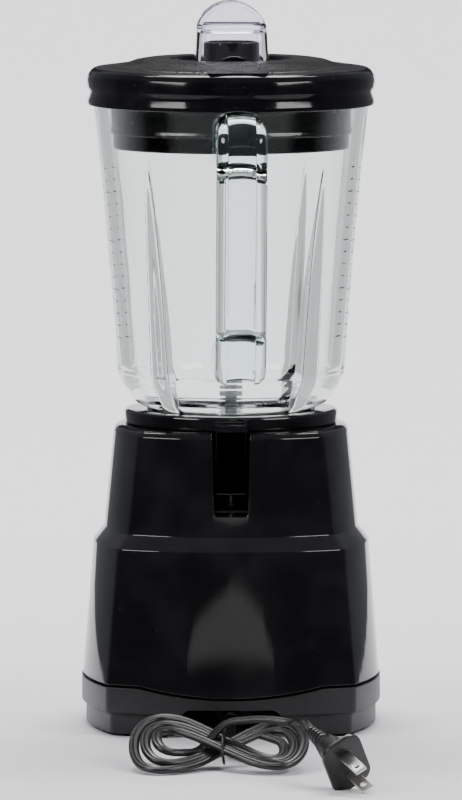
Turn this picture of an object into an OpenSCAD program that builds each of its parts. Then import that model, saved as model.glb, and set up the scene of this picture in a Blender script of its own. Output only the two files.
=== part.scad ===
// Countertop blender: glass jar with a loop handle on a bowed square motor base.
// +Z is up, the cord and the jar's handle are towards -Y, the push buttons towards +Y.
// The origin is on the table, under the axis of the motor, the blades and the jar.

/* [Base] */
// Half width of the lower skirt, across its flat-most middle
skirt_half_w = 79.2; // [75:0.2:95]
// How far each side of the base bows out from its corners
side_bow = 14; // [8:0.5:18]
// Half width of the housing just under its shoulder
waist_half_w = 72.9; // [68:0.1:88]
// Half width of the housing just above its shoulder
neck_half_w = 67.3; // [65:0.1:84]
// Half width of the housing at its top edge
top_half_w = 61.9; // [60:0.1:78]
// Height of the housing's top face
base_h = 159.5; // [150:0.5:195]
// Height of the shoulder's lower edge
shoulder_z = 98; // [84:0.5:102]
// Height of the seam between skirt and housing
seam_z = 26; // [24:0.5:30]
// Depth of the seam's dip at the front and the back
seam_dip = 5.6; // [3:0.2:7]
// Wall of the housing and of the skirt
wall = 3; // [2.5:0.1:3.6]
// Height of the rubber feet under the skirt
foot_h = 1.5; // [1:0.1:2.2]
// Radius of a rubber foot
foot_r = 8; // [6:0.5:9.5]

/* [Jar] */
// Turn of the jar, the lid and the cap on the base
jar_turn = 3; // [0:0.5:6]
// Outer radius of the jar under the lid
jar_top_r = 72.6; // [68:0.1:76]
// Outer radius of the jar above its bottom corner
jar_low_r = 60.4; // [58:0.1:64]
// Thickness of the jar's glass
glass = 7; // [5:0.1:8]
// Height of the jar's rim above the base
jar_h = 184.5; // [150:0.5:225]
// Outer radius of the jar's neck inside the collar
neck_r = 44; // [38:0.1:46]
// Depth of the inner ribs at the bottom
rib_depth = 9.4; // [7:0.2:12]
// Width of an inner rib
rib_w = 8; // [6:0.5:10]
// Width of the handle's bar
handle_w = 26.5; // [22:0.5:31]
// Thickness of the handle's bar
handle_t = 12.5; // [10:0.5:15]
// Distance from the axis to the handle's outer face
handle_reach = 116; // [110:1:128]

/* [Lid] */
// Largest radius of the lid's rim
lid_r = 76.3; // [76.2:0.1:82]
// Height of the lid's rim band
lid_band = 16; // [13:0.5:19]
// Length of the lid's inner skirt
lid_skirt = 38; // [32:1:46]
// Radius of the opening for the filler cap
opening_r = 22.5; // [19:0.5:24]
// Outer radius of the lid's raised neck inside the filler cap
neck_tube_r = 16; // [12:0.5:16]
// Width of the filler cap
cap_w = 39; // [34:0.5:44]
// Height of the filler cap above the lid's dish
cap_h = 33; // [28:0.5:38]

/* [Drive] */
// Radius of the motor shaft
shaft_r = 4; // [3.2:0.1:4.6]
// Radius of the armature
armature_r = 20.4; // [17:0.1:20.6]
// Height of the stator's laminations
stack_h = 36; // [30:1:38]
// Reach of the longest blade from the axis
blade_reach = 25; // [21:0.5:29]
// Radius of the blade spindle
spindle_r = 3.2; // [2.8:0.1:3.6]

/* [Controls] */
// Width of a push button
button_w = 10.5; // [8:0.5:11.2]
// Distance between neighbouring buttons
button_pitch = 13; // [12:0.5:15]
// Travel of a push button
button_travel = 3; // [2:0.5:3]

/* [Cord] */
// Width of the flat twin lead
cord_w = 5.5; // [5:0.1:6]
// Thickness of the flat twin lead
cord_t = 3; // [2.8:0.1:3.2]
// Height of the tied hank
hank_h = 28; // [22:0.5:32]

/* [Hidden] */
$fn = 96;
fit = 0.3;        // air between pieces of different bodies
run = 0.05;       // radial air of a running fit

// Heights of the base, from the table up
pan_top = foot_h + 2.5;
notch_top = 15.4;
skirt_step_z = 10;
seam_gap = 2.5;
shoulder_h = 7;
edge_r = 3.5;
top_t = 3;
well_r = neck_r + 2.5;
well_z = base_h - 18;

// Heights of the drive train
fan_z = 10;
bracket_low_z = 30;
bracket_t = 6;
commutator_z = 42;
stack_z = 62;
bracket_top_z = stack_z + stack_h + 12;
coupling_z = well_z + 2;
collar_flange_z = well_z + 3;

// Places of the screws
mount_xy = 34;
bolt_x = 31;
bolt_y = 28;
corner_xy = waist_half_w - side_bow - 9;
foot_x = skirt_half_w - 25.2;
foot_y = 36;

// ---- outline of the base -----------------------------------------------------------------

function bow_radius(w) = (pow(w - side_bow, 2) + side_bow * side_bow) / (2 * side_bow);
function corner_centre(w, c) =
    let (r = bow_radius(w), o = w - r)
    (o + sqrt(2 * pow(r - c, 2) - o * o)) / 2;
function quarter(w, c) =
    let (r = bow_radius(w), k = corner_centre(w, c), a = atan2(k, k - (w - r)))
    concat([for (i = [0:8]) let (t = -a + i * a / 4) [w - r + r * cos(t), r * sin(t)]],
           [for (i = [1:3]) let (t = a + i * (90 - 2 * a) / 4) [k + c * cos(t), k + c * sin(t)]]);
function turned(p, q) =
    [p[0] * cos(90 * q) - p[1] * sin(90 * q), p[0] * sin(90 * q) + p[1] * cos(90 * q)];
function outline(w, c) = [for (q = [0:3]) for (p = quarter(w, c)) turned(p, q)];
function face_y(w, x) = w - bow_radius(w) + sqrt(pow(bow_radius(w), 2) - x * x);

// A solid through bowed square sections, each given as [height, half width, corner radius]
module loft(sections) {
    n = len(outline(skirt_half_w, 5));
    m = len(sections);
    points = [for (s = sections) for (p = outline(s[1], s[2])) [p[0], p[1], s[0]]];
    sides = [for (j = [0:m - 2]) for (i = [0:n - 1])
        [j * n + i, (j + 1) * n + i, (j + 1) * n + (i + 1) % n, j * n + (i + 1) % n]];
    polyhedron(points, concat([[for (i = [0:n - 1]) i]], sides,
                              [[for (i = [n - 1:-1:0]) (m - 1) * n + i]]));
}

// Sections of the housing, its walls moved in by d
function housing_sections(d, low, high) = [
    [low, skirt_half_w - d, 6],
    [shoulder_z, waist_half_w - d, 8],
    [shoulder_z + shoulder_h, neck_half_w - d, 9],
    [high, top_half_w + (d == 0 ? 0.3 : 0) - d, 10]];

// The curved band between skirt and housing: a wide arc across the front and the back
module seam_arc(r) {
    translate([0, 0, seam_z - seam_dip + 212])
        rotate([90, 0, 0])
            cylinder(r = r, h = 4 * skirt_half_w, center = true, $fn = 200);
}

// ---- small shapes ------------------------------------------------------------------------

module tube(r_out, r_in, h, z = 0) {
    translate([0, 0, z])
        difference() {
            cylinder(r = r_out, h = h);
            translate([0, 0, -1])
                cylinder(r = r_in, h = h + 2);
        }
}

module rounded(w, d, r) {
    translate([r - w / 2, r - d / 2])
        offset(r = r, $fn = 32)
            square([w - 2 * r, d - 2 * r]);
}

module at_corners(x, y) {
    for (sx = [-1, 1])
        for (sy = [-1, 1])
            translate([sx * x, sy * y, 0])
                children();
}

module screw(r, h, head_r, head_h) {
    cylinder(r = r, h = h + head_h / 2);
    translate([0, 0, h])
        cylinder(r = head_r, h = head_h);
}

// ---- lid and cap -------------------------------------------------------------------------

jar_rim_z = base_h + jar_h;
dish_z = jar_rim_z + 5.5;
lid_top = jar_rim_z + 3.5;
plateau_z = lid_top + 4.9;
skirt_r = jar_top_r - glass - 3.1;

// Arched grip across the top of the cap, its foot sunk a little way into the cup
module grip(half, rise, depth, z) {
    r = (half * half + rise * rise) / (2 * rise);
    rotate([90, 0, 0])
        linear_extrude(depth, center = true)
            intersection() {
                translate([0, z + rise - r])
                    circle(r = r);
                translate([-half, z - 3])
                    square([2 * half, rise + 4]);
            }
}

module filler_cap() {
    wall_t = 2.5;
    grip_rise = 13;
    grip_half = cap_w / 2 - 1.2;
    grip_w = 16;
    sleeve_h = 20;
    shoulder = cap_h - grip_rise;
    sleeve_r = opening_r - fit;
    color([0.85, 0.85, 0.95, 0.4])
        rotate([0, 0, jar_turn])
            translate([0, 0, dish_z + fit])
                difference() {
                    union() {
                        linear_extrude(shoulder)
                            rounded(cap_w, cap_w - 1, 8);
                        grip(grip_half, grip_rise, grip_w, shoulder);
                        translate([0, 0, -sleeve_h])
                            cylinder(r = sleeve_r, h = sleeve_h + 1);
                    }
                    translate([0, 0, -sleeve_h - 1])
                        cylinder(r = sleeve_r - wall_t, h = sleeve_h + 2);
                    linear_extrude(shoulder - wall_t)
                        rounded(cap_w - 2 * wall_t, cap_w - 1 - 2 * wall_t, 6);
                    grip(grip_half - wall_t, grip_rise - wall_t, grip_w - 2 * wall_t, shoulder);
                }
}

module lid() {
    low = lid_top - lid_band - 3.5;
    rim_in = jar_top_r + 0.6;
    tube_t = 1.8;
    trough_z = dish_z - 20.2;
    color([0.05, 0.05, 0.06])
        rotate([0, 0, jar_turn]) {
            cap_lug();
            rotate_extrude()
                polygon([
                    [neck_tube_r, trough_z], [neck_tube_r, dish_z + cap_h - 21.2],
                    [neck_tube_r - tube_t, dish_z + cap_h - 21.2],
                    [neck_tube_r - tube_t, trough_z - 2], [opening_r + 2, trough_z - 2],
                    [opening_r + 2, dish_z - 3.5], [44, dish_z - 3.5], [52, jar_rim_z + fit],
                    [skirt_r - 2.5, jar_rim_z + fit], [skirt_r - 2.5, jar_rim_z - lid_skirt],
                    [skirt_r, jar_rim_z - lid_skirt], [skirt_r, jar_rim_z + fit],
                    [rim_in, jar_rim_z + fit], [rim_in, low],
                    [lid_r - 0.6, low], [lid_r - 0.5, low + 2], [lid_r - 1.3, low + 5.6],
                    [lid_r - 0.5, low + 9.5], [lid_r, low + 13], [lid_r - 0.7, low + 16],
                    [lid_r - 2.2, low + 18.3], [lid_r - 4, lid_top],
                    [53, lid_top], [45.6, plateau_z], [30.5, plateau_z], [29, dish_z],
                    [opening_r, dish_z], [opening_r, trough_z]]);
        }
}

// Small arched lug in the lid's dish, at the foot of the cap
module cap_lug() {
    translate([0, -opening_r - 0.4, dish_z - 1])
        rotate([90, 0, 0])
            linear_extrude(5.2)
                intersection() {
                    scale([1, 0.75])
                        circle(r = 8.7);
                    translate([-10, 0])
                        square([20, 10]);
                }
}

module lid_seal() {
    fin_r = jar_top_r - glass - 1.8;
    low = jar_rim_z - 30;
    color([0.12, 0.12, 0.12])
        rotate([0, 0, jar_turn])
            rotate_extrude()
                polygon(concat(
                    [[skirt_r, low]],
                    [for (i = [0:2]) for (p = [[fin_r, low + 5 * i], [fin_r, low + 5 * i + 1.5],
                        [skirt_r + 0.7, low + 5 * i + 2], [skirt_r + 0.7, low + 5 * i + 4.5]]) p],
                    [[skirt_r, low + 15]]));
}

// ---- jar ---------------------------------------------------------------------------------

jar_foot_z = base_h - 6.5;
jar_corner_z = base_h + 26.5;
jar_side_z = base_h + 30.5;
jar_side_h = jar_rim_z - jar_side_z;
// Each point of the bevel: its share of the way from the neck out to the side, and its height
jar_bevel = [for (p = [[0, 8], [0.43, 11.5], [0.6, 15.5], [0.89, 23.1], [0.975, 26.5]])
    [neck_r + p[0] * (jar_low_r - neck_r), base_h + p[1]]];

// The side flares evenly and hollows a little, then stands straight inside the lid's rim
function jar_r(z) =
    let (t = (z - jar_side_z) / jar_side_h)
    jar_low_r + (jar_top_r - jar_low_r) * min(1, t / 0.87) - 0.8 * sin(180 * t);

jar_side = [for (i = [0:8]) let (z = jar_side_z + i * jar_side_h / 8) [jar_r(z), z]];

module jar_shell() {
    inner_side = [for (i = [8:-1:0]) [jar_side[i][0] - glass, jar_side[i][1]]];
    rotate_extrude()
        polygon(concat(
            [[neck_r, jar_foot_z]], jar_bevel, jar_side, inner_side,
            [[jar_low_r - glass - 1, jar_corner_z], [neck_r + 2, base_h + 14],
             [neck_r - glass, base_h + 8], [neck_r - glass, jar_foot_z]]));
}

module jar_rib() {
    top_z = jar_rim_z - 47;
    low_z = base_h + 40.5;
    step = (top_z - low_z) / 6;
    curve = [for (i = [0:6]) let (z = top_z - i * step, t = i / 6)
        [jar_r(z) - glass + 2 - (rib_depth + 2) * t, z]];
    rotate([90, 0, 0])
        linear_extrude(rib_w, center = true)
            polygon(concat(curve,
                [[jar_low_r - glass - rib_depth - 2, jar_corner_z],
                 [neck_r - glass + 1, base_h + 12], [neck_r + 4, base_h + 13],
                 [jar_low_r - glass + 2, jar_corner_z + 2], [jar_r(top_z) - glass + 2, top_z]]));
}

module jar_handle() {
    top_out = jar_rim_z - 18;
    top_in = top_out - 26;
    low_out = base_h + 28;
    low_in = low_out + 21.5;
    inner = handle_reach - handle_t;
    side_low = jar_r(base_h + 40);
    side_high = jar_r(jar_rim_z - 24);
    rotate([90, 0, -90])
        linear_extrude(handle_w, center = true)
            difference() {
                offset(r = 14)
                    offset(delta = -14)
                        polygon([[side_low - 26, low_out], [handle_reach - 13, low_out],
                                 [handle_reach, top_out], [side_low - 26, top_out]]);
                offset(r = 8)
                    offset(delta = -8)
                        polygon([[side_low - 30, low_in], [inner - 10, low_in],
                                 [inner, top_in], [side_low - 30, top_in]]);
                polygon([[side_low - 40, low_out - 20], [side_low - 3.5, low_out - 20],
                         [side_low - 3.5, low_out + 10], [side_high - 3.5, top_out + 10],
                         [side_low - 40, top_out + 10]]);
            }
}

module jar() {
    color([0.8, 0.9, 0.88, 0.35])
        rotate([0, 0, jar_turn]) {
            jar_shell();
            for (a = [45, 135, 225, 315])
                rotate([0, 0, a])
                    jar_rib();
            jar_handle();
        }
}

collar_r = neck_r + 12.4;
collar_h = 7.7;
tongue_w = 16;
tongue_low = base_h - 32.7;

module jar_collar() {
    sleeve_out = well_r - fit - 0.2;
    color([0.08, 0.08, 0.09])
        difference() {
            union() {
                rotate_extrude()
                    polygon([
                        [38, collar_flange_z], [sleeve_out, collar_flange_z],
                        [sleeve_out, base_h + fit], [collar_r, base_h + fit],
                        [collar_r, base_h + collar_h - 2], [collar_r - 0.6, base_h + collar_h - 0.6],
                        [collar_r - 2, base_h + collar_h], [neck_r + fit, base_h + collar_h],
                        [neck_r + fit, collar_flange_z + 3.5], [38, collar_flange_z + 3.5]]);
                translate([-tongue_w / 2, -top_half_w + 1.5, tongue_low])
                    cube([tongue_w, top_half_w - slot_back - 3.4, base_h + 4 - tongue_low]);
            }
            translate([0, -top_half_w - 5.5, tongue_low + 3])
                cylinder(r = 10, h = base_h - tongue_low - 3);
        }
}

module jar_gasket() {
    color([0.75, 0.75, 0.72])
        tube(neck_r - 0.5, neck_r - glass + 0.5, 2.5, jar_foot_z - 2.5);
}

// ---- blade base --------------------------------------------------------------------------

blade_flange_z = collar_flange_z + 3.5;
socket_top = coupling_z + 13.5;
hub_low = socket_top + 1;
hub_top = hub_low + 11.5;
blade_z = hub_top + 3;

module blade_base() {
    color([0.72, 0.73, 0.75])
        rotate_extrude()
            polygon([
                [8, hub_low], [19, hub_low], [19, blade_flange_z],
                [neck_r - 1, blade_flange_z], [neck_r - 1, jar_foot_z - 2.5],
                [neck_r - glass - 3, jar_foot_z - 2.5], [neck_r - glass - 6, hub_low + 0.5],
                [17, hub_low + 4.5], [13, hub_top], [8, hub_top]]);
}

module blade_bearing() {
    color([0.72, 0.5, 0.2])
        tube(8, spindle_r + run, hub_top - hub_low - 3.2, hub_low + 0.2);
}

module shaft_seal() {
    color([0.2, 0.1, 0.1])
        tube(8, spindle_r + run, 2.6, hub_top - 2.8);
}

module blade_spindle() {
    color("silver")
        translate([0, 0, socket_top - 3.2])
            cylinder(r = spindle_r, h = blade_z + 9 - socket_top + 3.2);
}

// Two opposite cutting arms from the spindle, their outer half bent up by a given angle
module blade(angle, reach, z, turn) {
    root = 12;
    width = 13;
    color("silver")
        translate([0, 0, z])
            rotate([0, 0, turn])
                difference() {
                    union() {
                        translate([0, 0, 0.75])
                            cube([2 * root + 1, width, 1.5], center = true);
                        for (s = [0, 180])
                            rotate([0, 0, s])
                                translate([root, 0, 0])
                                    rotate([0, -angle, 0])
                                        linear_extrude(1.5)
                                            polygon([[0, -width / 2], [reach, -2],
                                                     [reach, 3], [0, width / 2]]);
                    }
                    translate([0, 0, -1])
                        cylinder(r = spindle_r, h = 4);
                }
}

module lower_blade() {
    blade(12, blade_reach - 10, blade_z, 70);
}

module upper_blade() {
    blade(58, blade_reach - 2, blade_z + 3, -15);
}

module blade_washer() {
    color("silver") {
        tube(6, spindle_r, 1.5, blade_z + 1.5);
        tube(7, spindle_r, 2.6, hub_top + 0.35);
    }
}

module blade_nut() {
    color("silver")
        translate([0, 0, blade_z + 4.5])
            difference() {
                cylinder(r = 6, h = 4, $fn = 6);
                translate([0, 0, -1])
                    cylinder(r = spindle_r, h = 6);
            }
}

// Socket under the blade base: a cup with six drive teeth around the motor's coupling
module blade_coupling() {
    color([0.12, 0.12, 0.13])
        difference() {
            union() {
                tube(16, 12.5, 7.2, coupling_z + 3);
                translate([0, 0, coupling_z + 10.2])
                    cylinder(r = 16, h = socket_top - coupling_z - 10.2);
                for (a = [30:60:330])
                    rotate([0, 0, a])
                        translate([9.3, -1.6, coupling_z + 3])
                            cube([4, 3.2, 7.2]);
            }
            translate([0, 0, coupling_z + 10])
                cylinder(r = spindle_r, h = 5);
        }
}

// ---- motor -------------------------------------------------------------------------------

module drive_coupling() {
    teeth_z = coupling_z + 3;
    color([0.15, 0.15, 0.16])
        difference() {
            union() {
                translate([0, 0, coupling_z])
                    cylinder(r = 15, h = 2.5);
                translate([0, 0, coupling_z])
                    cylinder(r = 8, h = 9.5);
                for (a = [0:60:300])
                    rotate([0, 0, a])
                        translate([6, -2, coupling_z])
                            cube([6, 4, teeth_z - coupling_z + 6.5]);
            }
            translate([0, 0, coupling_z - 1])
                cylinder(r = shaft_r, h = 8);
        }
}

module shaft_slinger() {
    color([0.2, 0.2, 0.2])
        tube(14, shaft_r, 1.5, well_z - 5.5);
}

module bracket_plate(z, w, bearing) {
    color([0.7, 0.7, 0.72])
        translate([0, 0, z])
            difference() {
                linear_extrude(bracket_t)
                    difference() {
                        rounded(w, w, 8);
                        for (a = [45:90:315])
                            rotate([0, 0, a])
                                translate([22, 0])
                                    circle(r = 6);
                    }
                translate([0, 0, -1])
                    cylinder(r = bearing, h = bracket_t + 2);
                translate([0, 0, -1])
                    at_corners(bolt_x, bolt_y)
                        cylinder(r = 2.1, h = bracket_t + 2);
                if (w > 80)
                    translate([0, 0, -1])
                        at_corners(mount_xy + 3, mount_xy + 3)
                            cylinder(r = 2.2, h = bracket_t + 2);
            }
}

module motor_top_bracket() {
    bracket_plate(bracket_top_z, 74, 11);
}

module motor_bottom_bracket() {
    bracket_plate(bracket_low_z, 90, 11);
}

module stator_core() {
    color([0.45, 0.45, 0.47])
        translate([0, 0, stack_z])
            difference() {
                linear_extrude(stack_h)
                    difference() {
                        rounded(72, 66, 5);
                        for (sx = [-1, 1])
                            for (sy = [-1, 1])
                                translate([sx * 19 - 4.2, sy * 23 - 4.2])
                                    square(8.4);
                    }
                translate([0, 0, -1])
                    cylinder(r = armature_r + 0.6, h = stack_h + 2);
                translate([0, 0, -1])
                    at_corners(bolt_x, bolt_y)
                        cylinder(r = 2.1, h = stack_h + 2);
            }
}

module field_coils() {
    end = 8;
    color([0.72, 0.38, 0.18])
        for (s = [-1, 1])
            translate([0, s * 23, stack_z - end])
                difference() {
                    translate([-23, -4, 0])
                        cube([46, 8, stack_h + 2 * end]);
                    translate([-15, -5, end - 0.1])
                        cube([30, 10, stack_h + 0.2]);
                }
}

module armature_core() {
    color([0.5, 0.5, 0.52])
        tube(armature_r, shaft_r, stack_h - 4, stack_z + 2);
}

module armature_windings() {
    color([0.72, 0.38, 0.18]) {
        tube(armature_r - 2.5, shaft_r, 8, stack_z - 6);
        tube(armature_r - 2.5, shaft_r, 8, stack_z + stack_h - 2);
    }
}

module commutator() {
    color([0.75, 0.45, 0.25])
        tube(11, shaft_r, 13, commutator_z);
}

module motor_shaft() {
    color("silver")
        translate([0, 0, fan_z - 2])
            cylinder(r = shaft_r, h = coupling_z + 7 - fan_z + 2);
}

module bearing(z) {
    color([0.6, 0.6, 0.62])
        tube(11, shaft_r + run, 7, z);
}

module upper_bearing() {
    bearing(bracket_top_z - 0.5);
}

module lower_bearing() {
    bearing(bracket_low_z - 0.5);
}

module brush_pair() {
    for (s = [0, 180])
        rotate([0, 0, s])
            children();
}

module brush_holders() {
    color([0.55, 0.3, 0.12])
        brush_pair()
            difference() {
                translate([13.5, -6, bracket_low_z + bracket_t])
                    cube([22, 12, 19]);
                translate([12, -3.1, commutator_z + 3.9])
                    cube([22, 6.2, 6.2]);
            }
}

module carbon_brushes() {
    color([0.15, 0.15, 0.15])
        brush_pair()
            translate([11.3, -3, commutator_z + 4])
                cube([12, 6, 6]);
}

module brush_springs() {
    color("silver")
        brush_pair()
            for (i = [0:3])
                translate([23.4 + 2.7 * i, 0, commutator_z + 7])
                    rotate([0, 90, 0])
                        tube(2.6, 1.8, i == 3 ? 2.4 : 1.2);
}

module cooling_fan() {
    blades = 9;
    color([0.2, 0.2, 0.22])
        difference() {
            union() {
                translate([0, 0, fan_z])
                    cylinder(r = 10, h = 12);
                translate([0, 0, fan_z + 10])
                    cylinder(r = 26, h = 2);
                for (i = [0:blades - 1])
                    rotate([0, 0, i * 360 / blades])
                        translate([9, -0.9, fan_z + 1])
                            cube([16.5, 1.8, 10]);
            }
            translate([0, 0, fan_z - 1])
                cylinder(r = shaft_r, h = 14);
        }
}

module motor_mounts() {
    color([0.1, 0.1, 0.1])
        at_corners(mount_xy + 3, mount_xy + 3)
            tube(6.5, 2.2, 6, bracket_low_z - 6);
}

module motor_spacers() {
    color([0.65, 0.65, 0.67])
        at_corners(bolt_x, bolt_y) {
            tube(4, 2.1, stack_z - bracket_low_z - bracket_t, bracket_low_z + bracket_t);
            tube(4, 2.1, bracket_top_z - stack_z - stack_h, stack_z + stack_h);
        }
}

module motor_bolts() {
    color([0.6, 0.6, 0.6])
        at_corners(bolt_x, bolt_y)
            translate([0, 0, bracket_low_z - 4])
                screw(2, bracket_top_z + bracket_t - bracket_low_z + 4, 3.8, 2.5);
}

module mount_screws() {
    color([0.6, 0.6, 0.6])
        at_corners(mount_xy + 3, mount_xy + 3)
            translate([0, 0, bracket_low_z - 14])
                screw(2, bracket_t + 14, 4, 2.5);
}

// ---- housing, skirt and feet -------------------------------------------------------------

slot_top_w = 20;
slot_low_w = 17.5;
slot_z = base_h - 43.5;
slot_back = well_r + 4;

module slot_outline(grow) {
    polygon([[-slot_low_w / 2 - grow, slot_z - grow], [slot_low_w / 2 + grow, slot_z - grow],
             [slot_top_w / 2 + grow, base_h + 1], [-slot_top_w / 2 - grow, base_h + 1]]);
}

module tongue_slot(grow, back) {
    translate([0, -back, 0])
        rotate([90, 0, 0])
            linear_extrude(30)
                slot_outline(grow);
}

module screw_bosses(r_out, r_in, low, high) {
    at_corners(corner_xy, corner_xy)
        tube(r_out, r_in, high - low, low);
}

module motor_housing() {
    low = seam_z - seam_dip - 1;
    inner = housing_sections(wall, low - 1, base_h - top_t);
    color([0.03, 0.03, 0.035])
        difference() {
            union() {
                difference() {
                    intersection() {
                        loft(concat(housing_sections(0, low, base_h - edge_r), [
                            [base_h - 1.1, top_half_w - 0.8, 9.5],
                            [base_h, top_half_w - edge_r, 8]]));
                        union() {
                            translate([-100, -100, seam_z + seam_gap])
                                cube([200, 200, 200]);
                            seam_arc(212 - seam_gap);
                        }
                    }
                    loft(inner);
                }
                intersection() {
                    union() {
                        tube(well_r + 2.5, well_r, base_h - well_z - 1, well_z);
                        translate([0, 0, well_z - 3])
                            cylinder(r = well_r + 2.5, h = 3.01);
                        tongue_slot(2.2, slot_back - 2);
                        screw_bosses(5, 1.9, seam_z + 6, shoulder_z - 20);
                        for (a = [45:90:315])
                            rotate([0, 0, a])
                                translate([corner_xy * sqrt(2) + 4, -1.5, seam_z + 10])
                                    cube([16, 3, shoulder_z - seam_z - 30]);
                    }
                    loft(housing_sections(1, low - 1, base_h - 1));
                }
            }
            translate([0, 0, well_z])
                cylinder(r = well_r, h = 40);
            translate([0, 0, well_z - 10])
                cylinder(r = 11, h = 20);
            tongue_slot(0, slot_back);
            button_windows(button_clear);
        }
}

// Recess in the skirt's back for the cord, open at the bottom and through the wall
module cord_recess(grow) {
    translate([0, grow - recess_y, 0])
        rotate([90, 0, 0])
            linear_extrude(30 + grow)
                polygon([[-26 - grow, -1], [26 + grow, -1],
                         [26 + grow, notch_top - 4 + grow], [22 + grow, notch_top + grow],
                         [-22 - grow, notch_top + grow], [-26 - grow, notch_top - 4 + grow]]);
}

module cord_notch() {
    translate([0, -60, 0])
        rotate([90, 0, 0])
            linear_extrude(40)
                polygon([[-31.5, -1], [31.5, -1], [30.5, 6], [26, notch_top - 3],
                         [22, notch_top], [-22, notch_top], [-26, notch_top - 3], [-30.5, 6]]);
}

module base_pan() {
    bottom = foot_h;
    low_w = skirt_half_w - 2.3;
    color([0.09, 0.09, 0.1])
        difference() {
            union() {
                difference() {
                    loft([[bottom, low_w, 5], [skirt_step_z, low_w, 5],
                          [skirt_step_z + 1.5, skirt_half_w - 1.7, 5],
                          [skirt_step_z + 3, skirt_half_w, 5], [seam_z, skirt_half_w, 5]]);
                    loft([[pan_top, low_w - wall, 4], [skirt_step_z + 3, low_w - wall, 4],
                          [seam_z + 1, low_w - wall, 4]]);
                    seam_arc(212);
                }
                difference() {
                    loft([[pan_top, skirt_half_w - wall - 1.5, 4],
                          [seam_z + 6, skirt_half_w - wall - 1.5, 4]]);
                    loft([[pan_top - 1, skirt_half_w - wall - 3.5, 4],
                          [seam_z + 7, skirt_half_w - wall - 3.5, 4]]);
                }
                intersection() {
                    cord_recess(2.5);
                    loft([[bottom, low_w, 5], [notch_top + 3, low_w, 5]]);
                }
                at_corners(mount_xy + 3, mount_xy + 3)
                    tube(7, 2, bracket_low_z - 6 - bottom - 1, bottom + 1);
                screw_bosses(5, 2.2, bottom + 1, seam_z + 6);
            }
            cord_recess(0);
            cord_notch();
            translate([0, -30, relief_z])
                rotate([90, 0, 0])
                    cylinder(r = relief_r, h = 10);
            at_corners(corner_xy, corner_xy) {
                translate([0, 0, bottom - 1])
                    cylinder(r = 2.2, h = 40);
                translate([0, 0, bottom - 1])
                    cylinder(r = 4.2, h = 4);
            }
            foot_places()
                translate([0, 0, bottom - 1])
                    cylinder(r = foot_r, h = 2.5);
            for (a = [0:30:330])
                rotate([0, 0, a])
                    translate([20, -1.5, bottom - 1])
                        cube([9, 3, 6]);
        }
}

module foot_places() {
    for (s = [-1, 1]) {
        translate([s * foot_x, foot_y, 0])
            children();
        translate([s * foot_x, -foot_y, 0])
            children();
    }
}

module feet() {
    color([0.15, 0.15, 0.15])
        foot_places()
            cylinder(r = foot_r, h = foot_h + 1.5);
}

module base_screws() {
    color([0.6, 0.6, 0.6])
        at_corners(corner_xy, corner_xy)
            translate([0, 0, foot_h + 0.4]) {
                cylinder(r = 4, h = 2.6);
                cylinder(r = 1.9, h = seam_z + 20);
            }
}

// ---- controls ----------------------------------------------------------------------------

panel_low = 40;
panel_high = 92;
button_z = 64;
button_h = 20;
button_clear = 0.35;

function panel_face(x) = face_y((skirt_half_w + waist_half_w) / 2, x);

module button_windows(c) {
    for (i = [-3:3])
        translate([i * button_pitch, 45, button_z])
            rotate([-90, 0, 0])
                linear_extrude(50)
                    rounded(button_w + 2 * c, button_h + 2 * c, 2);
}

module control_panel() {
    half = 3 * button_pitch + 12;
    color([0.25, 0.25, 0.27])
        difference() {
            intersection() {
                loft(housing_sections(-1.2, seam_z, base_h));
                translate([0, 90, (panel_low + panel_high) / 2])
                    rotate([90, 0, 0])
                        linear_extrude(60)
                            rounded(2 * half, panel_high - panel_low, 6);
            }
            loft(housing_sections(0, seam_z - seam_dip - 1, base_h - edge_r));
            button_windows(button_clear);
        }
}

module button(i) {
    x = i * button_pitch;
    front = panel_face(x) + 1.2 + button_travel + 1.2;
    color(i == -3 ? [0.6, 0.1, 0.1] : [0.75, 0.75, 0.77]) {
        translate([x, front - 9, button_z])
            rotate([-90, 0, 0])
                linear_extrude(9)
                    rounded(button_w, button_h, 2);
        translate([x, switch_front + button_travel + 0.4, button_z])
            rotate([-90, 0, 0])
                cylinder(r = 2.5, h = front - 8.5 - switch_front - button_travel - 0.4);
    }
}

module button_1() { button(-3); }
module button_2() { button(-2); }
module button_3() { button(-1); }
module button_4() { button(0); }
module button_5() { button(1); }
module button_6() { button(2); }
module button_7() { button(3); }

switch_back = 46;
switch_front = 58;

module switch_body() {
    color([0.85, 0.85, 0.8])
        translate([-44, switch_back, button_z - 10])
            cube([88, switch_front - switch_back, 20]);
}

module circuit_board() {
    color([0.1, 0.4, 0.2])
        translate([-42, switch_back - 1.6, button_z - 20])
            cube([84, 1.6, 40]);
}

// ---- cord --------------------------------------------------------------------------------

relief_z = 9.4;
relief_r = 4.3;
relief_tip = 62;
recess_y = 36;

module strain_relief() {
    color([0.1, 0.1, 0.1])
        translate([0, 0, relief_z])
            rotate([90, 0, 0])
                rotate_extrude()
                    polygon([[0, recess_y - 9], [3.3, recess_y - 9], [3.3, recess_y - 4.6],
                             [5.3, recess_y - 4.6], [5.3, recess_y - 2.6], [4.2, recess_y - 2.6],
                             [4.2, recess_y + 0.1], [5.3, recess_y + 0.1], [5.3, recess_y + 2],
                             [4.8, recess_y + 2.4], [3.4, relief_tip], [0, relief_tip]]);
}

module cord_clamp() {
    color([0.75, 0.75, 0.7])
        translate([-12, 5 - recess_y, pan_top])
            difference() {
                cube([24, 4, 10]);
                translate([12, 5, relief_z - pan_top])
                    rotate([90, 0, 0])
                        cylinder(r = 3.4, h = 6);
            }
}

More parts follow.
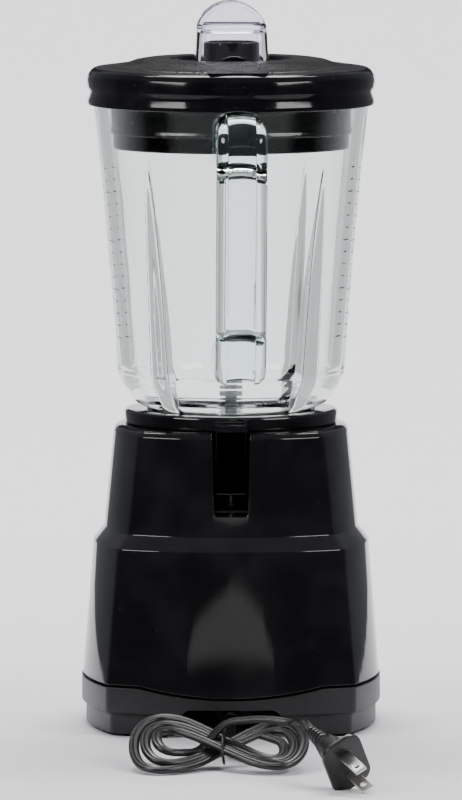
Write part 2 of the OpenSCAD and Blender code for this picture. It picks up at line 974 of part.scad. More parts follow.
// Stations of the lead from the strain relief to the hank, and of its tail to the plug
lead_route = [[0, -62, 9.4], [0, -66, 9.4], [0, -74, 7.4], [0, -84, 4.8], [-1, -95, 3.4],
              [-3, -106, 3], [-4, -117, 3], [-4, -128, 3.2], [-2, -139, 4.2], [1, -150, 6.5]];
tail_route = [[31.5, -205, 25.5], [34, -213, 27.8], [36, -222, 29], [37.8, -231, 28.6],
              [40.2, -240.8, 26.4]];

function away(a, b) = (b - a) / norm(b - a);
function heading(p, i) =
    i == 0 ? away(p[0], p[1])
    : i == len(p) - 1 ? away(p[i - 1], p[i])
    : away(p[i - 1], p[i + 1]);
function ring(p, d, w, t) =
    let (side = away([0, 0, 0], cross(d, [0, 0, 1])), up = cross(side, d))
    [for (k = [0:7]) p + side * w / 2 * cos(45 * k) + up * t / 2 * sin(45 * k)];

module cord_tube(route, w, t) {
    m = len(route);
    points = [for (i = [0:m - 1]) for (p = ring(route[i], heading(route, i), w, t)) p];
    sides = [for (j = [0:m - 2]) for (k = [0:7])
        [8 * j + k, 8 * j + (k + 1) % 8, 8 * (j + 1) + (k + 1) % 8, 8 * (j + 1) + k]];
    color([0.1, 0.1, 0.1])
        polyhedron(points, concat([[for (k = [7:-1:0]) k]], sides,
                                  [[for (k = [0:7]) 8 * (m - 1) + k]]));
}

module power_cord() {
    cord_tube(lead_route, cord_w, cord_t);
}

module cord_tail() {
    cord_tube(tail_route, cord_w, cord_t);
}

hank_mid = [-8, -184.5, 0];
hank_l = 92;
hank_w = 68;

module cord_hank() {
    color([0.1, 0.1, 0.1])
        translate(hank_mid)
            linear_extrude(hank_h)
                hull() {
                    translate([(hank_w - hank_l) / 2, 0])
                        circle(d = hank_w);
                    translate([(hank_l - hank_w) / 2, 0])
                        circle(d = hank_w);
                }
}

module cord_tie() {
    color([0.85, 0.85, 0.85])
        translate([hank_mid[0] + 3, hank_mid[1] - 12, hank_h])
            cube([4, 30, 1.2]);
}

// ---- plug --------------------------------------------------------------------------------

plug_place = [58.5, -269, 13.5];
plug_turn = [-58, 21, -57];
blade_gap = 12.7;

module place_plug() {
    translate(plug_place)
        rotate(plug_turn)
            children();
}

module plug_body() {
    color([0.09, 0.09, 0.09])
        place_plug()
            rotate([0, -90, 0])
                difference() {
                    union() {
                        linear_extrude(3)
                            rounded(22.5, 31, 7);
                        linear_extrude(22)
                            rounded(15, 24, 6);
                        translate([0, 0, 21.9])
                            cylinder(r1 = 6, r2 = 3.6, h = 14);
                    }
                    for (s = [-1, 1])
                        translate([-3.2, s * blade_gap / 2 - 0.8, -1])
                            cube([6.4, 1.6, 9]);
                }
}

module plug_blades() {
    color([0.8, 0.8, 0.82])
        place_plug()
            for (s = [-1, 1])
                difference() {
                    translate([-8, s * blade_gap / 2 - 0.75, -3.15])
                        cube([25, 1.5, 6.3]);
                    translate([12.5, s * blade_gap / 2 + 2, 0])
                        rotate([90, 0, 0])
                            cylinder(r = 1.6, h = 4);
                }
}

filler_cap();
lid();
lid_seal();
jar();
jar_collar();
jar_gasket();
blade_base();
blade_bearing();
shaft_seal();
blade_spindle();
lower_blade();
upper_blade();
blade_washer();
blade_nut();
blade_coupling();
motor_housing();
base_pan();
feet();
base_screws();
drive_coupling();
shaft_slinger();
motor_top_bracket();
motor_bottom_bracket();
stator_core();
field_coils();
armature_core();
armature_windings();
commutator();
motor_shaft();
upper_bearing();
lower_bearing();
brush_holders();
carbon_brushes();
brush_springs();
cooling_fan();
motor_mounts();
motor_spacers();
motor_bolts();
mount_screws();
control_panel();
button_1();
button_2();
button_3();
button_4();
button_5();
button_6();
button_7();
switch_body();
circuit_board();
strain_relief();
cord_clamp();
power_cord();
cord_hank();
cord_tail();
cord_tie();
plug_body();
plug_blades();
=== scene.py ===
"""Looks of the countertop blender: camera, studio, cord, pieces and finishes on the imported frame.

Working solids are shaped in millimetres and settled into the frame, in metres, when they are done.
"""
import math

import bmesh
import bpy
from mathutils import Euler, Matrix, Vector


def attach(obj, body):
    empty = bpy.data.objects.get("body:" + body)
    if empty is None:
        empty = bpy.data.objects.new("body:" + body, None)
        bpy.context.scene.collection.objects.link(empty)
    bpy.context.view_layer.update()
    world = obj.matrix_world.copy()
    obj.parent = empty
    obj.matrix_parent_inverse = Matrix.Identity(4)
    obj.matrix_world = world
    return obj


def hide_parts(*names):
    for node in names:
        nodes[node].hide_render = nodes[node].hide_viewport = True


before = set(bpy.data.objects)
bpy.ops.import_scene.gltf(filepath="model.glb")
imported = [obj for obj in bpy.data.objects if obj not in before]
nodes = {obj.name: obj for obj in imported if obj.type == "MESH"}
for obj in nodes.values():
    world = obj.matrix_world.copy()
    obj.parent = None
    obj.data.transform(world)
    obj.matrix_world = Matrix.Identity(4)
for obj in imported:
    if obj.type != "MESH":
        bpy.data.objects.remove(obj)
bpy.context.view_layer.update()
MM = 0.001


# ---- camera and studio -------------------------------------------------------------------

def aim(obj, target):
    obj.rotation_euler = (Vector(target) - obj.location).to_track_quat("-Z", "Y").to_euler()


def make_camera():
    lens = bpy.data.cameras.new("camera")
    lens.lens = 401
    lens.sensor_width = 36
    lens.clip_start = 0.5
    lens.clip_end = 40
    cam = bpy.data.objects.new("camera", lens)
    bpy.context.scene.collection.objects.link(cam)
    cam.location = (0, -4.7, 0.63)
    aim(cam, (0, 0, 0.171))
    bpy.context.scene.camera = cam


def softbox(name, place, target, size, power, tint=(1, 1, 1)):
    lamp = bpy.data.lights.new(name, "AREA")
    lamp.shape = "RECTANGLE"
    lamp.size, lamp.size_y = size
    lamp.energy = power
    lamp.color = tint
    obj = bpy.data.objects.new(name, lamp)
    bpy.context.scene.collection.objects.link(obj)
    obj.location = place
    obj.visible_camera = False
    aim(obj, target)


def sheet_of_paper(name, line, left, right, seen_in_gloss=True):
    """A sheet drawn along X from a line of (y, z) points."""
    bm = bmesh.new()
    verts = [bm.verts.new((left, y, z)) for y, z in line]
    edges = [bm.edges.new(pair) for pair in zip(verts, verts[1:])]
    made = bmesh.ops.extrude_edge_only(bm, edges=edges)["geom"]
    bmesh.ops.translate(bm, vec=(right - left, 0, 0), verts=pick(made, bmesh.types.BMVert))
    bm.normal_update()
    if bm.faces[:][0].normal.z < 0:
        bmesh.ops.reverse_faces(bm, faces=bm.faces)
    for face in bm.faces:
        face.smooth = True
    sheet = solid(bm, name)
    sheet.data.materials.append(PAPER)
    sheet.visible_glossy = seen_in_gloss
    sheet.visible_transmission = seen_in_gloss


def gloss_card(name, outline, y, glow):
    """A card of (x, z) points that only shows as a reflection on glossy pieces."""
    bm = bmesh.new()
    bm.faces.new([bm.verts.new((x, y, z)) for x, z in outline])
    card = solid(bm, name)
    made, tree, shader = new_finish(name)
    shader.inputs["Base Color"].default_value = (0.01, 0.01, 0.01, 1)
    shader.inputs["Roughness"].default_value = 0.9
    shader.inputs["Emission Color"].default_value = (0.95, 0.94, 0.9, 1)
    shader.inputs["Emission Strength"].default_value = glow
    card.data.materials.append(made)
    card.visible_camera = card.visible_diffuse = card.visible_transmission = card.visible_shadow = False


def make_cards():
    """A pale tent-shaped card low in front of the base, and a black flag behind the lid."""
    tent = [(-1.05, 0.24), (-0.85, 0.38), (-0.14, 0.46), (0.02, 0.49), (0.3, 0.47), (0.75, 0.40), (1.0, 0.24)]
    gloss_card("front_card", tent, -3.1, 0.95)
    gloss_card("black_flag", [(-0.45, 0.37), (0.45, 0.37), (0.45, 1.5), (-0.45, 1.5)], 1.2, 0)


def make_studio():
    """Pale sweep under and behind the object, softboxes at both sides, a dark room in front."""
    sweep = filleted([(-0.42, 0), (1.7, 0), (1.7, 2.6)], [0, 0.7, 0], 14)
    sheet_of_paper("floor", sweep, -0.5, 0.5)
    front = [(-3.4, 0), (-0.42, 0)]
    sheet_of_paper("floor_front", front, -3.2, 3.2, False)
    sheet_of_paper("floor_left", sweep, -3.2, -0.5, False)
    sheet_of_paper("floor_right", sweep, 0.5, 3.2, False)
    softbox("overhead", (0, 0.75, 2.1), (0, 0.1, 0.1), (1.3, 0.7), 24)
    softbox("left_box", (-1.3, -0.95, 1.15), (0, 0, 0.25), (0.9, 0.36), 16)
    softbox("right_box", (1.3, -0.95, 1.15), (0, 0, 0.25), (0.9, 0.36), 16)
    softbox("backdrop_wash", (0, 0.75, 2.2), (0, 1.7, 0.35), (2.4, 0.4), 64)
    make_cards()
    world = bpy.data.worlds.new("room")
    bpy.context.scene.world = world
    world.use_nodes = True
    tree = world.node_tree
    tree.nodes.clear()
    place = node(tree, "ShaderNodeTexCoord")
    split = node(tree, "ShaderNodeSeparateXYZ", Vector=place.outputs["Generated"])
    back = ramp(tree, split.outputs["Y"], [(-0.1, (0.012, 0.012, 0.014)), (0.95, (0.3, 0.31, 0.33))])
    above = ramp(tree, split.outputs["Z"], [(0.3, (0, 0, 0)), (1.0, (0.32, 0.32, 0.34))])
    both = mix(tree, back, above, 1.0, "ADD")
    through = ramp(tree, split.outputs["Y"], [
        (-0.62, (0.6, 0.6, 0.62)), (-0.45, (0.01, 0.01, 0.012)), (-0.12, (0.01, 0.01, 0.012)),
        (0.1, (0.5, 0.51, 0.53)), (0.4, (0.98, 0.98, 1.0))])
    ray = tree.nodes.new("ShaderNodeLightPath")
    seen = mix(tree, both, through, ray.outputs["Is Transmission Ray"])
    seen = mix(tree, seen, (0.78, 0.78, 0.8), ray.outputs["Is Camera Ray"])
    glow = node(tree, "ShaderNodeBackground", Color=seen, Strength=0.8)
    out = node(tree, "ShaderNodeOutputWorld")
    tree.links.new(glow.outputs[0], out.inputs["Surface"])


# ---- small helpers for shader trees ------------------------------------------------------

def node(tree, kind, label=None, **values):
    """A node with its attributes and inputs set; an input given as a socket is linked."""
    made = tree.nodes.new(kind)
    if label:
        made.label = label
    for key, value in values.items():
        name = key.replace("_", " ")
        if name in made.inputs:
            socket = made.inputs[name]
            if isinstance(value, bpy.types.NodeSocket):
                tree.links.new(value, socket)
            elif socket.type == "RGBA" and len(value) == 3:
                socket.default_value = (*value, 1)
            else:
                socket.default_value = value
        else:
            setattr(made, key, value)
    return made


def ramp(tree, value, stops):
    """Colour ramp over any range of values: stops are (value, colour), lowest first."""
    low, high = stops[0][0], stops[-1][0]
    spread = node(tree, "ShaderNodeMapRange", Value=value)
    spread.inputs["From Min"].default_value = low
    spread.inputs["From Max"].default_value = high
    made = node(tree, "ShaderNodeValToRGB", Fac=spread.outputs["Result"])
    bar = made.color_ramp
    while len(bar.elements) < len(stops):
        bar.elements.new(0.5)
    for element, (at, colour) in zip(bar.elements, stops):
        element.position = (at - low) / (high - low)
        element.color = (*colour, 1)
    return made.outputs["Color"]


def level(tree, value, low, high, to_low=0.0, to_high=1.0):
    """Maps low..high to to_low..to_high, held at the ends."""
    made = node(tree, "ShaderNodeMapRange", Value=value)
    made.inputs["From Min"].default_value = low
    made.inputs["From Max"].default_value = high
    made.inputs["To Min"].default_value = to_low
    made.inputs["To Max"].default_value = to_high
    return made.outputs["Result"]


def mix(tree, first, second, share, how="MIX"):
    made = tree.nodes.new("ShaderNodeMix")
    made.data_type = "RGBA"
    made.blend_type = how
    for socket, value in ((made.inputs[0], share), (made.inputs[6], first), (made.inputs[7], second)):
        if isinstance(value, bpy.types.NodeSocket):
            tree.links.new(value, socket)
        elif socket.type == "RGBA":
            socket.default_value = (*value, 1)
        else:
            socket.default_value = value
    return made.outputs[2]


def maths(tree, how, first, second=0.0, third=0.0):
    made = tree.nodes.new("ShaderNodeMath")
    made.operation = how
    for socket, value in zip(made.inputs, (first, second, third)):
        if isinstance(value, bpy.types.NodeSocket):
            tree.links.new(value, socket)
        else:
            socket.default_value = value
    return made.outputs[0]


def group(name, inputs, outputs):
    """A new shader node group with float inputs, given as (name, default), and named outputs."""
    tree = bpy.data.node_groups.new(name, "ShaderNodeTree")
    for label, default in inputs:
        socket = tree.interface.new_socket(label, in_out="INPUT", socket_type="NodeSocketFloat")
        socket.default_value = default
    for label in outputs:
        tree.interface.new_socket(label, in_out="OUTPUT", socket_type="NodeSocketFloat")
    return tree, tree.nodes.new("NodeGroupInput"), tree.nodes.new("NodeGroupOutput")


def place_group(tree, shared, **values):
    made = tree.nodes.new("ShaderNodeGroup")
    made.node_tree = shared
    for key, value in values.items():
        made.inputs[key.replace("_", " ")].default_value = value
    return made


# ---- shared effects ----------------------------------------------------------------------

def moulded_effect():
    """Moulded plastic: the slow waviness of the moulding, fine grain, rubbed patches, hairlines and dust."""
    tree, given, result = group("moulded", [("Grain Scale", 900), ("Wave Scale", 14), ("Dust Share", 0.3)],
                                ["Grain", "Wave", "Rubbed", "Hairline", "Dust"])
    place = tree.nodes.new("ShaderNodeTexCoord").outputs["Object"]
    grain = node(tree, "ShaderNodeTexNoise", Vector=place, Scale=given.outputs["Grain Scale"], Detail=3.0)
    wave = node(tree, "ShaderNodeTexNoise", Vector=place, Scale=given.outputs["Wave Scale"], Detail=1.0)
    rubbed = node(tree, "ShaderNodeTexNoise", Vector=place, Scale=38.0, Detail=5.0, Roughness=0.6)
    turned = node(tree, "ShaderNodeMapping", Vector=place)
    turned.inputs["Rotation"].default_value = (0.5, 0.9, 0.4)
    turned.inputs["Scale"].default_value = (24, 420, 420)
    hair = node(tree, "ShaderNodeTexNoise", Vector=turned.outputs[0], Scale=1.0, Detail=2.0)
    specks = node(tree, "ShaderNodeTexVoronoi", Vector=place, Scale=260.0)
    patch = node(tree, "ShaderNodeTexNoise", Vector=place, Scale=21.0, Detail=3.0)
    spread = level(tree, patch.outputs["Fac"], 0.35, 0.7, 0.03, 0.13)
    speck = maths(tree, "LESS_THAN", specks.outputs["Distance"], spread)
    chance = node(tree, "ShaderNodeSeparateColor", Color=specks.outputs["Color"])
    speck = maths(tree, "MULTIPLY", speck, maths(tree, "GREATER_THAN", chance.outputs["Red"], 0.8))
    dust = maths(tree, "MULTIPLY", speck, given.outputs["Dust Share"])
    for label, socket in (("Grain", grain.outputs["Fac"]), ("Wave", wave.outputs["Fac"]),
                          ("Rubbed", level(tree, rubbed.outputs["Fac"], 0.42, 0.68)),
                          ("Hairline", level(tree, hair.outputs["Fac"], 0.66, 0.72)), ("Dust", dust)):
        tree.links.new(socket, result.inputs[label])
    return tree


def metal_effect():
    """Worked metal: brushed lines along one axis, smudges and small pits."""
    tree, given, result = group("worked_metal", [("Along X", 60), ("Along Y", 900), ("Along Z", 900)],
                                ["Lines", "Smudge", "Pits"])
    place = tree.nodes.new("ShaderNodeTexCoord").outputs["Object"]
    stretch = node(tree, "ShaderNodeCombineXYZ", X=given.outputs["Along X"], Y=given.outputs["Along Y"],
                   Z=given.outputs["Along Z"])
    scaled = node(tree, "ShaderNodeVectorMath", operation="MULTIPLY")
    tree.links.new(place, scaled.inputs[0])
    tree.links.new(stretch.outputs[0], scaled.inputs[1])
    lines = node(tree, "ShaderNodeTexNoise", Vector=scaled.outputs[0], Scale=1.0, Detail=4.0)
    smudge = node(tree, "ShaderNodeTexNoise", Vector=place, Scale=45.0, Detail=3.0)
    pits = node(tree, "ShaderNodeTexVoronoi", Vector=place, Scale=700.0)
    tree.links.new(lines.outputs["Fac"], result.inputs["Lines"])
    tree.links.new(level(tree, smudge.outputs["Fac"], 0.4, 0.7), result.inputs["Smudge"])
    tree.links.new(level(tree, pits.outputs["Distance"], 0.0, 0.25, 1.0, 0.0), result.inputs["Pits"])
    return tree


def new_finish(name):
    made = bpy.data.materials.new(name)
    made.use_nodes = True
    tree = made.node_tree
    shader = tree.nodes["Principled BSDF"]
    return made, tree, shader


def raise_surface(tree, shader, height, strength, distance):
    bump = node(tree, "ShaderNodeBump", Height=height, Strength=strength, Distance=distance)
    tree.links.new(bump.outputs["Normal"], shader.inputs["Normal"])


def plastic(name, colour, roughness, grain=0.1, grain_scale=900, wave=0.0, dust=0.25, rub=0.05,
            dust_colour=(0.35, 0.34, 0.33), specular=0.5):
    """Moulded plastic or rubber with its own grain, sheen, rubbed patches and dust."""
    made, tree, shader = new_finish(name)
    effect = place_group(tree, MOULDED, Grain_Scale=grain_scale, Dust_Share=dust)
    shade = mix(tree, colour, [min(1, c * 1.5 + 0.004) for c in colour], effect.outputs["Rubbed"])
    shade = mix(tree, shade, dust_colour, effect.outputs["Dust"])
    tree.links.new(shade, shader.inputs["Base Color"])
    rough = maths(tree, "MULTIPLY_ADD", effect.outputs["Rubbed"], rub, roughness)
    rough = maths(tree, "MULTIPLY_ADD", effect.outputs["Hairline"], 0.5 * rub, rough)
    tree.links.new(rough, shader.inputs["Roughness"])
    shader.inputs["Specular IOR Level"].default_value = specular
    height = maths(tree, "MULTIPLY", effect.outputs["Grain"], grain)
    height = maths(tree, "MULTIPLY_ADD", effect.outputs["Wave"], wave, height)
    raise_surface(tree, shader, height, 0.5, 0.0006)
    return made


def metal(name, colour, roughness, lines=(60, 900, 900), brush=0.12, second=None, pits=0.0, relief=0.12):
    """Metal with brushed or turned lines, smudges and small pits."""
    made, tree, shader = new_finish(name)
    effect = place_group(tree, WORKED_METAL, Along_X=lines[0], Along_Y=lines[1], Along_Z=lines[2])
    shade = mix(tree, colour, second or [c * 0.72 for c in colour], effect.outputs["Smudge"])
    shade = mix(tree, shade, [c * 0.35 for c in colour], maths(tree, "MULTIPLY", effect.outputs["Pits"], pits))
    tree.links.new(shade, shader.inputs["Base Color"])
    rough = maths(tree, "MULTIPLY_ADD", effect.outputs["Lines"], brush, roughness)
    tree.links.new(rough, shader.inputs["Roughness"])
    shader.inputs["Metallic"].default_value = 1.0
    raise_surface(tree, shader, effect.outputs["Lines"], relief, 0.0004)
    return made


def clear(name, colour, absorb, density, roughness=0.0, ior=1.5, ripple=0.02, marks=0.02):
    """Clear glass or plastic: a faint ripple, water marks, and its tint in the thickness."""
    made, tree, shader = new_finish(name)
    effect = place_group(tree, MOULDED, Grain_Scale=500, Wave_Scale=32, Dust_Share=0.0)
    shader.inputs["Base Color"].default_value = (*colour, 1)
    shader.inputs["Transmission Weight"].default_value = 1.0
    shader.inputs["IOR"].default_value = ior
    rough = maths(tree, "MULTIPLY_ADD", effect.outputs["Hairline"], marks, roughness)
    tree.links.new(rough, shader.inputs["Roughness"])
    raise_surface(tree, shader, effect.outputs["Wave"], ripple, 0.004)
    depth = node(tree, "ShaderNodeVolumeAbsorption", Color=absorb, Density=density)
    tree.links.new(depth.outputs[0], tree.nodes["Material Output"].inputs["Volume"])
    return made


def paper():
    """Matt white paper with a faint fibre, which a camera behind it sees through."""
    made, tree, shader = new_finish("paper")
    place = tree.nodes.new("ShaderNodeTexCoord").outputs["Object"]
    fibre = node(tree, "ShaderNodeTexNoise", Vector=place, Scale=90.0, Detail=4.0)
    tree.links.new(mix(tree, (0.83, 0.83, 0.86), (0.87, 0.87, 0.90), fibre.outputs["Fac"]),
                   shader.inputs["Base Color"])
    shader.inputs["Roughness"].default_value = 0.9
    ray = tree.nodes.new("ShaderNodeLightPath").outputs["Is Camera Ray"]
    behind = tree.nodes.new("ShaderNodeNewGeometry").outputs["Backfacing"]
    open_back = node(tree, "ShaderNodeMixShader", Fac=maths(tree, "MULTIPLY", ray, behind))
    tree.links.new(shader.outputs[0], open_back.inputs[1])
    tree.links.new(tree.nodes.new("ShaderNodeBsdfTransparent").outputs[0], open_back.inputs[2])
    tree.links.new(open_back.outputs[0], tree.nodes["Material Output"].inputs["Surface"])
    return made


def lid_plastic():
    """Gloss black moulding with a stippled band round the top of the lid."""
    made = plastic("lid_black", (0.004, 0.004, 0.005), 0.075, 0.02, 1500, 0.25, 0.2, 0.05, specular=0.24)
    tree = made.node_tree
    shader = tree.nodes["Principled BSDF"]
    place = tree.nodes.new("ShaderNodeTexCoord").outputs["Object"]
    split = node(tree, "ShaderNodeSeparateXYZ", Vector=place)
    squares = maths(tree, "ADD", maths(tree, "POWER", split.outputs["X"], 2.0),
                    maths(tree, "POWER", split.outputs["Y"], 2.0))
    reach = maths(tree, "SQRT", squares)
    band = maths(tree, "MULTIPLY", level(tree, reach, 0.0315, 0.0325), level(tree, reach, 0.0725, 0.0715))
    band = maths(tree, "MULTIPLY", band, level(tree, split.outputs["Z"], 0.3470, 0.3474))
    bumps = node(tree, "ShaderNodeTexVoronoi", Vector=place, Scale=620.0)
    pips = maths(tree, "MULTIPLY", level(tree, bumps.outputs["Distance"], 0.45, 0.1), band)
    plain = shader.inputs["Roughness"].links[0].from_socket
    tree.links.new(maths(tree, "MULTIPLY_ADD", band, 0.26, plain), shader.inputs["Roughness"])
    relief = node(tree, "ShaderNodeBump", Height=pips, Strength=0.9, Distance=0.0005)
    tree.links.new(shader.inputs["Normal"].links[0].from_socket, relief.inputs["Normal"])
    tree.links.new(relief.outputs["Normal"], shader.inputs["Normal"])
    return made


def board(name):
    """Circuit board: solder mask with lighter tracks and tinned pads."""
    made, tree, shader = new_finish(name)
    place = tree.nodes.new("ShaderNodeTexCoord").outputs["Object"]
    cells = node(tree, "ShaderNodeTexBrick", Vector=place, Scale=90.0)
    cells.inputs["Color1"].default_value = (0.03, 0.16, 0.06, 1)
    cells.inputs["Color2"].default_value = (0.02, 0.11, 0.045, 1)
    cells.inputs["Mortar"].default_value = (0.05, 0.24, 0.09, 1)
    pads = node(tree, "ShaderNodeTexVoronoi", Vector=place, Scale=210.0)
    tree.links.new(mix(tree, cells.outputs["Color"], (0.6, 0.6, 0.58),
                       level(tree, pads.outputs["Distance"], 0.16, 0.12)), shader.inputs["Base Color"])
    shader.inputs["Roughness"].default_value = 0.35
    raise_surface(tree, shader, cells.outputs["Fac"], 0.2, 0.0003)
    return made


def wound(name, colour, second, scale):
    """Enamelled windings, or stacked laminations: fine bands across the piece."""
    made, tree, shader = new_finish(name)
    place = tree.nodes.new("ShaderNodeTexCoord").outputs["Object"]
    bands = node(tree, "ShaderNodeTexWave", Vector=place, Scale=scale, Distortion=0.4, bands_direction="Z")
    effect = place_group(tree, WORKED_METAL)
    shade = mix(tree, second, colour, bands.outputs["Fac"])
    shade = mix(tree, shade, [c * 0.5 for c in colour], effect.outputs["Smudge"])
    tree.links.new(shade, shader.inputs["Base Color"])
    shader.inputs["Metallic"].default_value = 0.8
    shader.inputs["Roughness"].default_value = 0.38
    raise_surface(tree, shader, bands.outputs["Fac"], 0.4, 0.0004)
    return made


# ---- small helpers for solids ------------------------------------------------------------

def filleted(points, radii, steps=6):
    """The polyline with each inner corner rounded off to its radius."""
    line = [points[0]]
    for before, at, after, radius in zip(points, points[1:], points[2:], radii[1:]):
        a, p, b = Vector(before), Vector(at), Vector(after)
        u, w = (a - p).normalized(), (b - p).normalized()
        if radius <= 0 or abs(u.dot(w)) > 0.9999:
            line.append(tuple(p))
            continue
        half = u.angle(w) / 2
        back = min(radius / math.tan(half), 0.49 * (a - p).length, 0.49 * (b - p).length)
        start, end = p + u * back, p + w * back
        for i in range(steps + 1):
            t = i / steps
            line.append(tuple((1 - t) ** 2 * start + 2 * t * (1 - t) * (0.8 * p + 0.1 * (start + end))
                              + t ** 2 * end))
    line.append(points[-1])
    return line


def fillet_ring(points, radii, steps=6):
    """The closed outline with each corner rounded off."""
    around = [points[-1]] + list(points) + [points[0]]
    return filleted(around, [0] + list(radii) + [0], steps)[1:-1]


def pick(made, kind):
    return [e for e in made if isinstance(e, kind)]


def raise_loop(bm, verts, edges, ring):
    """Draws a loop of edges on to the next ring of points and returns its vertices and edges."""
    made = bmesh.ops.extrude_edge_only(bm, edges=edges)["geom"]
    fresh = set(pick(made, bmesh.types.BMVert))
    twins = [next(e.other_vert(v) for e in v.link_edges if e.other_vert(v) in fresh) for v in verts]
    for twin, point in zip(twins, ring):
        twin.co = point
    kept = [e for e in pick(made, bmesh.types.BMEdge) if e.verts[0] in fresh and e.verts[1] in fresh]
    return twins, kept


def loft(rings, closed=True):
    """A solid drawn through rings of points, each ring with the same number of points."""
    bm = bmesh.new()
    verts = [bm.verts.new(p) for p in rings[0]]
    edges = [bm.edges.new((verts[i - 1], verts[i])) for i in range(len(verts))]
    if closed:
        bmesh.ops.edgeloop_fill(bm, edges=edges)
    for ring in rings[1:]:
        verts, edges = raise_loop(bm, verts, edges, ring)
    if closed:
        bmesh.ops.edgeloop_fill(bm, edges=edges)
    bmesh.ops.recalc_face_normals(bm, faces=bm.faces)
    return bm


def spun(profile, steps=192, closed=True, mark=None):
    """A turned solid from (radius, height) points. mark names the points whose vertices are marked."""
    bm = bmesh.new()
    layer = bm.verts.layers.int.new("marked")
    verts = []
    for i, (r, z) in enumerate(profile):
        v = bm.verts.new((r, 0, z))
        v[layer] = 1 if mark and i in mark else 0
        verts.append(v)
    pairs = list(zip(verts, verts[1:])) + ([(verts[-1], verts[0])] if closed else [])
    edges = [bm.edges.new(pair) for pair in pairs]
    bmesh.ops.spin(bm, geom=verts + edges, cent=(0, 0, 0), axis=(0, 0, 1), dvec=(0, 0, 0),
                   angle=2 * math.pi, steps=steps, use_merge=True, use_duplicate=False)
    bmesh.ops.remove_doubles(bm, verts=bm.verts, dist=1e-4)
    bmesh.ops.recalc_face_normals(bm, faces=bm.faces)
    return bm


def prism(outline, low, high):
    """A prism along Z from an outline of (x, y) points."""
    bm = bmesh.new()
    face = bm.faces.new([bm.verts.new((x, y, low)) for x, y in outline])
    made = bmesh.ops.extrude_face_region(bm, geom=[face])["geom"]
    bmesh.ops.translate(bm, vec=(0, 0, high - low), verts=pick(made, bmesh.types.BMVert))
    bmesh.ops.recalc_face_normals(bm, faces=bm.faces)
    return bm


def slab(low, high, edge=0.0):
    """A block between two corners, its edges eased."""
    bm = bmesh.new()
    bmesh.ops.create_cube(bm, size=1)
    size = Vector(high) - Vector(low)
    bmesh.ops.scale(bm, vec=size, verts=bm.verts)
    bmesh.ops.translate(bm, vec=(Vector(high) + Vector(low)) / 2, verts=bm.verts)
    if edge:
        ease(bm, bm.edges, edge, 3)
    return bm


def ease(bm, edges, reach, segments):
    bmesh.ops.bevel(bm, geom=list(edges), offset=reach, offset_type="OFFSET", segments=segments,
                    profile=0.5, affect="EDGES", material=-1, clamp_overlap=True)


def rod(r, low, high, steps=64, r_top=None):
    return spun([(0, low), (r, low), (r_top or r, high), (0, high)], steps, closed=False)


def rounded_box(w, d, r):
    """Outline of a rectangle with round corners."""
    line = []
    for cx, cy, start in ((1, 1, 0), (-1, 1, 90), (-1, -1, 180), (1, -1, 270)):
        for i in range(9):
            t = math.radians(start + i * 90 / 8)
            line.append((cx * (w / 2 - r) + r * math.cos(t), cy * (d / 2 - r) + r * math.sin(t)))
    return line


def turn(bm, matrix):
    bmesh.ops.transform(bm, matrix=matrix, verts=bm.verts)
    return bm


def across(bm):
    """Turns a shape drawn along +Z, with X right and Y up, to run along -Y with Z up."""
    return turn(bm, Matrix(((1, 0, 0, 0), (0, 0, -1, 0), (0, 1, 0, 0), (0, 0, 0, 1))))


def solid(bm, name="tool"):
    mesh = bpy.data.meshes.new(name)
    bm.to_mesh(mesh)
    bm.free()
    obj = bpy.data.objects.new(name, mesh)
    bpy.context.scene.collection.objects.link(obj)
    return obj


def bake(obj):
    """Replaces the object's mesh with what its modifiers make of it."""
    bpy.context.view_layer.update()
    graph = bpy.context.evaluated_depsgraph_get()
    mesh = bpy.data.meshes.new_from_object(obj.evaluated_get(graph), depsgraph=graph)
    old = obj.data
    obj.modifiers.clear()
    obj.data = mesh
    bpy.data.meshes.remove(old)
    mesh.name = obj.name


def combine(obj, how, *tools):
    """Joins, cuts or trims obj with each tool in turn, and drops the tools."""
    for tool in tools:
        step = obj.modifiers.new("step", "BOOLEAN")
        step.operation = how
        step.object = tool
        step.solver = "EXACT"
    bake(obj)
    for tool in tools:
        bpy.data.objects.remove(tool)
    return obj


def settle(obj, name, body, slot, stands_for=(), edge=0.0, angle=32, turned=0.0, finish=None):
    """Eases the sharp edges, brings the solid into the frame and puts it on its body with its finish."""
    obj.name = name
    mesh = obj.data
    bm = bmesh.new()
    bm.from_mesh(mesh)
    bmesh.ops.remove_doubles(bm, verts=bm.verts, dist=0.004)
    bmesh.ops.dissolve_degenerate(bm, edges=bm.edges, dist=0.002)
    for face in bm.faces:
        face.smooth = True
    bm.to_mesh(mesh)
    bm.free()
    mesh.set_sharp_from_angle(angle=math.radians(angle))
    if edge:
        step = obj.modifiers.new("edge", "BEVEL")
        step.width = edge
        step.segments = 2
        step.limit_method = "ANGLE"
        step.angle_limit = math.radians(angle)
        step.use_clamp_overlap = False
        step.harden_normals = True
        bake(obj)
    obj.data.transform(Matrix.Rotation(math.radians(turned), 4, "Z") @ Matrix.Scale(MM, 4))
    obj.data.materials.clear()
    obj.data.materials.append(finish or FINISHES[slot])
    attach(obj, body)
    if stands_for:
        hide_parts(*stands_for)
    return obj


# ---- finishes ----------------------------------------------------------------------------

